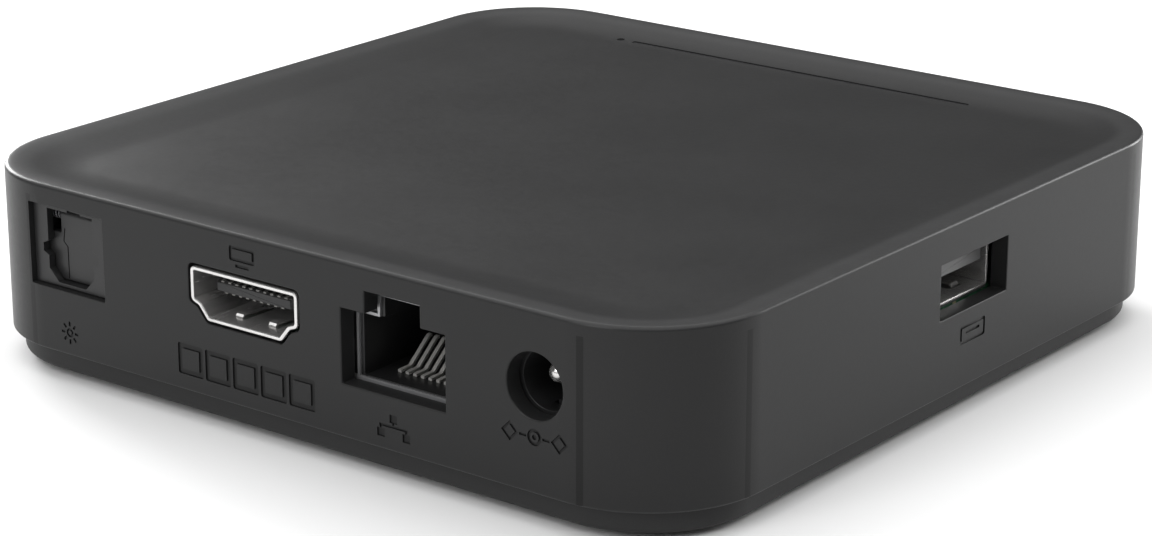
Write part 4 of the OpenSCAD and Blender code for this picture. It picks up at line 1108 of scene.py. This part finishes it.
class PLAYER_OT_video_socket(bpy.types.Operator):
    """Makes the video socket: folded shroud, spring tabs, tongue and contacts"""

    bl_idname = "player.video_socket"
    bl_label = "Video socket"

    TAB_X = 2.35 * MM
    HIGH_TAB_X = 4.2 * MM
    SLOT_WIDTH = 0.3 * MM
    SLOT_FROM_TAB = 0.65 * MM
    SLOT_START, SLOT_END = 1.9 * MM, 6.9 * MM

    def execute(self, context):
        sheet = sizes("sockets").sheet
        low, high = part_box("video_shroud")
        centre = (low + high) / 2
        place = on_rear(centre.x, REAR_Y, centre.z)
        outer = rounded(video_corners(), 0.55 * MM, 4)
        half = (high.z - low.z) / 2
        shroud = Builder()
        tube(shroud, outer, sheet, place, high.y - low.y, 0.14 * MM)
        shroud = shroud.done("video_metal")
        tabs, slots = Builder(), Builder()
        for side in (-1, 1):
            tab_x = side * self.TAB_X
            spring_tab(tabs, place, LOW_TAB, 0.24 * MM, 1.0 * MM, tab_x, sheet / 2 - half)
            high_x, high_z = side * self.HIGH_TAB_X, half - sheet / 2
            spring_tab(tabs, place, HIGH_TAB, 0.18 * MM, 1.5 * MM, high_x, high_z, -1)
            for edge in (-1, 1):
                gap = rectangle(self.SLOT_WIDTH, 2 * sheet, tab_x + edge * self.SLOT_FROM_TAB, -half)
                prism(slots, [Vector(p) for p in gap], place, self.SLOT_START, self.SLOT_END)
        combine(shroud, slots.done("tab slots"), "DIFFERENCE")
        tidy(shroud)
        tabs = tabs.done("video_spring_tabs")
        dressed(shroud, "player", ["video_shroud"], "shroud_nickel")
        dressed(tabs, "player", (), "shroud_nickel")
        self.insulator(place, outer)
        self.contacts()
        return {"FINISHED"}

    def insulator(self, place, outer):
        """The black block at the back, and its tongue with a chamfered nose."""
        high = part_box("video_insulator")[1]
        contact_low, contact_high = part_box("video_contacts")
        tongue_t = contact_high.z - contact_low.z - 0.24 * MM
        tongue_z = (contact_low.z + contact_high.z) / 2 - middle("video_shroud").z
        tongue_w = 10.8 * MM
        nose = REAR_Y - high.y
        back = REAR_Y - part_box("video_shroud")[0].y
        seat = back - 4 * MM
        block = Builder()
        prism(block, grown(outer, -0.37 * MM), place, seat, back)
        tongue = rounded(rectangle(tongue_w, tongue_t, 0, tongue_z), 0.15 * MM, 3)
        rows = [[place(p, seat + 0.1 * MM) for p in tongue], [place(p, nose + 0.3 * MM) for p in tongue]]
        rows.append([place(p, nose) for p in grown(tongue, -0.2 * MM)])
        block.loft(rows)
        piece = block.done("video_tongue")
        dressed(piece, "player", ["video_insulator"], "socket_black")

    def contacts(self):
        """Two rows of flat contacts on the tongue, which end just short of its nose."""
        low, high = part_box("video_contacts")
        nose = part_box("video_insulator")[1].y
        x = middle("video_shroud").x
        pitch = 1.0 * MM
        rows = []
        for name, count, z, turn in (
            ("video_contacts_upper", 10, high.z - 0.12 * MM, 1),
            ("video_contacts_lower", 9, low.z + 0.12 * MM, -1),
        ):
            path = [(nose - 0.12 * MM, -0.2 * MM), (nose - 0.16 * MM, -0.02 * MM)]
            path += [(nose - 0.4 * MM, 0.07 * MM), (low.y, 0.05 * MM)]
            source = Builder()
            source.strip(
                path, 0.08 * MM, 0.42 * MM,
                lambda along, up, across: Vector((across, along, z + turn * up)),
            )
            start = (x - (count - 1) / 2 * pitch, 0, 0)
            # These contacts take the darkened plating, which is painted shade deep inside the socket.
            rows.append(repeated(name, source.done(name), count, (pitch, 0, 0), start, "contact_dull"))
        ready(rows[0], "player", ["video_contacts"])
        ready(rows[1], "player", ())


class PLAYER_OT_network_socket(bpy.types.Operator):
    """Makes the eight spring wires of the network socket"""

    bl_idname = "player.network_socket"
    bl_label = "Network socket"

    def execute(self, context):
        sizes_here = sizes("sockets")
        low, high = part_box("network_contacts")
        rise = high.z - low.z
        front, back = high.y, low.y
        flat = low.z + 0.22 * MM
        path = [(front, flat - 0.05 * MM), (front - 0.6 * MM, flat), (front - 1.5 * MM, flat)]
        path += [(front - 1.75 * MM, flat + 0.07 * MM), (front - 1.95 * MM, flat + 0.25 * MM)]
        path += [(back + 0.75 * MM, low.z + rise * 0.84), (back + 0.45 * MM, low.z + rise * 0.92)]
        path += [(back + 0.15 * MM, low.z + rise * 0.93)]
        wire = Builder()
        wire.strip(
            path, 0.3 * MM, sizes_here.contact_width,
            lambda along, up, across: Vector((across, along, up)),
        )
        pitch = sizes_here.contact_pitch
        start = (middle("network_housing").x - 3.5 * pitch, 0, 0)
        row = repeated("network_wires", wire.done("network wire"), 8, (pitch, 0, 0), start, "contact_tin")
        ready(row, "player", ["network_contacts"])
        return {"FINISHED"}


class PLAYER_OT_power_socket(bpy.types.Operator):
    """Makes the power socket's centre pin with its domed tip"""

    bl_idname = "player.power_socket"
    bl_label = "Power socket"

    def execute(self, context):
        low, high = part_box("power_pin")
        housing_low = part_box("power_housing")[0]
        radius = 1.05 * MM
        axis_z = high.z - radius
        tip = high.y
        back = housing_low.y
        root, root_end = radius + 0.35 * MM, back + 4.5 * MM
        profile = [(root, back), (root, root_end), (radius, root_end)]
        profile += [(radius, tip - radius)]
        for k in range(1, 9):
            a = math.pi / 2 * k / 8
            profile.append((radius * math.cos(a) + 0.02 * MM, tip - radius + radius * math.sin(a)))
        pin = Builder()
        pin.turned((middle("power_pin").x, 0, axis_z), (0, 1, 0), profile, 40)
        tail = rounded(rectangle(2 * MM, axis_z - low.z + 1.0 * MM), 0.2 * MM, 3)
        centre_z = (axis_z + low.z + 1.0 * MM) / 2
        prism(pin, tail, on_rear(middle("power_pin").x, 0, centre_z), -back, -low.y)
        pin = pin.done("power_centre_pin")
        dressed(pin, "player", ["power_pin"], "shroud_nickel")
        return {"FINISHED"}


class PLAYER_OT_data_socket(bpy.types.Operator):
    """Makes the data socket: folded shroud, spring tabs, tongue and contacts"""

    bl_idname = "player.data_socket"
    bl_label = "Data socket"

    def execute(self, context):
        sheet = sizes("sockets").sheet
        low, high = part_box("data_shroud")
        centre = (low + high) / 2
        half = (high.z - low.z) / 2
        place = on_left(low.x, centre.y, centre.z)
        outer = rounded(rectangle(high.y - low.y, high.z - low.z), 0.5 * MM, 5)
        shroud = Builder()
        tube(shroud, outer, sheet, place, high.x - low.x, 0.14 * MM)
        shroud = shroud.done("data_metal")
        tabs, slots = Builder(), Builder()
        for side in (-1, 1):
            spring_tab(tabs, place, LOW_TAB, 0.2 * MM, 1.4 * MM, side * 2.8 * MM, sheet / 2 - half)
            frame_hole = rectangle(2.2 * MM, 3 * sheet, side * 2.8 * MM, -half)
            prism(slots, [Vector(p) for p in frame_hole], place, 1.6 * MM, 6.6 * MM)
            window = rectangle(3 * sheet, 1.2 * MM, side * (high.y - low.y) / 2, 0.7 * MM)
            prism(slots, [Vector(p) for p in window], place, 2.6 * MM, 4.4 * MM)
        combine(shroud, slots.done("data windows"), "DIFFERENCE")
        tidy(shroud)
        tabs = tabs.done("data_spring_tabs")
        dressed(shroud, "player", ["data_shroud"], "shroud_nickel")
        dressed(tabs, "player", (), "shroud_nickel")
        self.insulator(place, outer, centre)
        return {"FINISHED"}

    def insulator(self, place, outer, centre):
        """The block behind, the seat below and the tongue in the upper half."""
        low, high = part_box("data_insulator")
        shroud_low, shroud_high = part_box("data_shroud")
        contact_low, contact_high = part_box("data_contacts")
        block = Builder()
        deep = shroud_high.x - shroud_low.x
        prism(block, grown(outer, -0.38 * MM), place, 9.5 * MM, deep)
        seat_low = (shroud_low.x + 0.2 * MM, shroud_low.y, low.z)
        block.block(seat_low, (high.x, shroud_high.y, shroud_low.z - 0.02 * MM))
        block.block((shroud_high.x + 0.02 * MM, shroud_low.y, shroud_low.z), (high.x, shroud_high.y, high.z))
        tongue_low = contact_high.z - centre.z
        tongue_t = 1.85 * MM
        tongue = rounded(rectangle(11 * MM, tongue_t, 0, tongue_low + tongue_t / 2), 0.2 * MM, 3)
        nose = low.x - shroud_low.x
        rows = [[place(p, 9.6 * MM) for p in tongue], [place(p, nose + 0.35 * MM) for p in tongue]]
        rows.append([place(p, nose) for p in grown(tongue, -0.25 * MM)])
        block.loft(rows)
        piece = block.done("data_tongue")
        dressed(piece, "player", ["data_insulator"], "socket_white")
        path = [(0.0, 0.0), (0.4 * MM, -0.1 * MM), (6.4 * MM, -0.12 * MM), (7 * MM, 0.0)]
        strip = Builder()
        strip.strip(path, 0.08 * MM, 1.0 * MM, lambda along, up, across: Vector(
            (contact_low.x + along, across, contact_high.z - 0.02 * MM + up)
        ))
        pitch = 2.2 * MM
        start = (0, centre.y - 1.5 * pitch, 0)
        row = repeated("data_strips", strip.done("data strip"), 4, (0, pitch, 0), start, "contact_tin")
        ready(row, "player", ["data_contacts"])


class PLAYER_OT_optical_door(bpy.types.Operator):
    """Makes the sprung door of the optical socket, with its barrel and folded crease"""

    bl_idname = "player.optical_door"
    bl_label = "Optical door"

    THICKNESS = 0.8 * MM
    CREASE = ((1.82, 5.9), (2.06, 4.4), (1.46, 3.85), (1.45, 0.25))

    def execute(self, context):
        low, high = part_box("optical_shutter")
        barrel = (high.y - low.y) / 2
        pin = extent("optical_hinge_pin").z / 2
        axis_y, axis_z = high.y - barrel, high.z - barrel
        room = 2.0 * MM
        top = axis_z + 0.1 * MM
        corners = [
            (low.x, low.z), (high.x, low.z), (high.x, axis_z - room), (high.x - room, axis_z - room),
            (high.x - room, top), (low.x, top),
        ]
        outline = rounded(corners, 0.15 * MM, 3)
        soft = 0.08 * MM
        door = Builder()
        door.loft([
            [Vector((p.x, high.y - depth, p.y)) for p in grown(outline, -wider)]
            for depth, wider in ((0, soft), (soft, 0), (self.THICKNESS, 0))
        ])
        door = door.done("optical_door")
        hinge = Builder()
        hinge.rod((low.x, axis_y, axis_z), (1, 0, 0), barrel, high.x - room - low.x)
        combine(door, hinge.done("barrel"), "UNION")
        bore = Builder()
        bore.rod((low.x - MM, axis_y, axis_z), (1, 0, 0), pin + 0.05 * MM, 12 * MM, 32)
        combine(door, bore.done("bore"), "DIFFERENCE")
        centre_x = middle("optical_housing").x
        path = [(centre_x + x * MM, low.z + z * MM) for x, z in self.CREASE]
        groove = Builder()
        groove.strip(
            path, 0.16 * MM, 0.3 * MM,
            lambda along, up, across: Vector((along, high.y + across, up)),
        )
        combine(door, groove.done("crease"), "DIFFERENCE")
        tidy(door)
        dressed(door, "shutter", ["optical_shutter"], "socket_black")
        return {"FINISHED"}


class PLAYER_OT_carried_over(bpy.types.Operator):
    """Finishes every CAD node that keeps its own shape"""

    bl_idname = "player.carried_over"
    bl_label = "Carried-over pieces"

    EDGES = {
        "network_housing": 0.12, "power_housing": 0.05, "optical_housing": 0.2, "optical_shutter": 0.12,
        "heat_sink": 0.12, "processor": 0.15, "network_transformer": 0.2, "main_board": 0.08,
        "wireless_shield": 0.15, "reset_switch": 0.15, "reset_plunger": 0.12, "memory_chips": 0.08,
    }

    def execute(self, context):
        slots = {part["node"]: part["material_slot"] for part in frame["record"]["subparts"]}
        for name, node in frame["nodes"].items():
            if node.hide_render:
                continue
            for place in node.material_slots:
                place.material = FINISHES[slots[name]]
            if not node.material_slots:
                node.data.materials.append(FINISHES[slots[name]])
            if name in self.EDGES:
                weld = node.modifiers.new("Joined corners", "WELD")
                weld.merge_threshold = 1e-6
                edge = node.modifiers.new("Rounded edges", "BEVEL")
                edge.width = self.EDGES[name] * MM
                edge.segments = 3
                edge.limit_method = "ANGLE"
                edge.angle_limit = math.radians(40)
                edge.harden_normals = True
        return {"FINISHED"}


# ---------------------------------------------------------------- the stage


class PLAYER_OT_stage(bpy.types.Operator):
    """Makes the pale floor, the soft lights and the camera"""

    bl_idname = "player.stage"
    bl_label = "Stage"

    # Name, place, aim, width in metres, and the setting that holds its power
    LIGHTS = (
        ("Overhead light", (0.0, 0.0, 0.9), (0, 0, 0), 2.2, "overhead"),
        ("Left light", (-0.4, -1.05, 0.2), (0, 0, 0.01), 0.35, "side"),
        ("Far light", (1.07, -0.44, 0.34), (0, 0, 0.02), 0.45, "far"),
        ("Near light", (0.15, 1.2, 0.55), (0, 0.05, 0.01), 0.5, "near"),
    )

    def execute(self, context):
        stage = sizes("stage")
        self.floor()
        self.camera(stage)
        for name, place, aim, size, power in self.LIGHTS:
            self.light(name, place, aim, size, getattr(stage, power))
        world = bpy.data.worlds.new("Studio")
        world.use_nodes = True
        world.node_tree.nodes["Background"].inputs["Color"].default_value = (1, 1, 1, 1)
        world.node_tree.nodes["Background"].inputs["Strength"].default_value = stage.sky
        context.scene.world = world
        context.scene.view_settings.view_transform = "Standard"
        return {"FINISHED"}

    def floor(self):
        finish = Finish("Pale floor", (0.86, 0.86, 0.86), 0.9, Specular_IOR_Level=0.1)
        finish.paint(finish.ramp(finish.noise(6, 2), (0.4, 0.0), (0.7, 0.3)), (0.9, 0.9, 0.9))
        plate = Builder()
        plate.loft([[Vector((p[0], p[1], z)) for p in rectangle(6, 6)] for z in (-0.01, 0.0)])
        floor = plate.done("floor")
        floor.data.materials.append(finish.material)

    def camera(self, stage):
        az, el = stage.azimuth, stage.elevation
        back = Vector((math.cos(el) * math.sin(az), -math.cos(el) * math.cos(az), math.sin(el)))
        right = Vector((math.cos(az), math.sin(az), 0))
        up = back.cross(right)
        aim = Vector((0, 0, BASE_Z)) + right * stage.aim_right + up * stage.aim_up
        data = bpy.data.cameras.new("Camera")
        data.lens = stage.lens
        data.sensor_width = 36
        data.clip_start = 0.01
        camera = bpy.data.objects.new("Camera", data)
        turn = Matrix((right, up, back)).transposed().to_4x4()
        camera.matrix_world = Matrix.Translation(aim + back * stage.distance) @ turn
        bpy.context.scene.collection.objects.link(camera)
        bpy.context.scene.camera = camera

    def light(self, name, place, aim, size, power):
        data = bpy.data.lights.new(name, "AREA")
        data.shape = "SQUARE"
        data.size = size
        data.energy = power
        lamp = bpy.data.objects.new(name, data)
        way = Vector(place) - Vector(aim)
        lamp.matrix_world = Matrix.Translation(place) @ way.to_track_quat("Z", "Y").to_matrix().to_4x4()
        bpy.context.scene.collection.objects.link(lamp)


# ---------------------------------------------------------------- the panel and the run


class PLAYER_PT_pieces(bpy.types.Panel):
    """Lists the pieces in the sidebar"""

    bl_idname = "PLAYER_PT_pieces"
    bl_label = "Media player"
    bl_space_type = "VIEW_3D"
    bl_region_type = "UI"
    bl_category = "Media player"

    def draw(self, context):
        for operator in OPERATORS:
            self.layout.operator(operator.bl_idname)
        for name in GROUPS:
            box = self.layout.box()
            group = sizes(name)
            for label in group.bl_rna.properties.keys():
                if label not in ("rna_type", "name"):
                    box.prop(group, label)


OPERATORS = [
    PLAYER_OT_top_shell, PLAYER_OT_base_cover, PLAYER_OT_feet, PLAYER_OT_video_socket,
    PLAYER_OT_network_socket, PLAYER_OT_power_socket, PLAYER_OT_data_socket,
    PLAYER_OT_optical_door, PLAYER_OT_carried_over, PLAYER_OT_stage,
]
GROUPS = {
    "case": CaseSizes, "sockets": SocketSizes, "marks": MarkSizes,
    "colours": FinishColours, "stage": StageSettings,
}


def register():
    for group in GROUPS.values():
        bpy.utils.register_class(group)
    for name, group in GROUPS.items():
        setattr(bpy.types.Scene, "media_player_" + name, PointerProperty(type=group))
    for operator in OPERATORS:
        bpy.utils.register_class(operator)
    bpy.utils.register_class(PLAYER_PT_pieces)


def unregister():
    bpy.utils.unregister_class(PLAYER_PT_pieces)
    for operator in reversed(OPERATORS):
        bpy.utils.unregister_class(operator)
    for name, group in GROUPS.items():
        delattr(bpy.types.Scene, "media_player_" + name)
        bpy.utils.unregister_class(group)


def main():
    register()
    FINISHES.update(make_finishes())
    for operator in OPERATORS:
        family, name = operator.bl_idname.split(".")
        getattr(getattr(bpy.ops, family), name)()


if __name__ == "__main__":
    main()
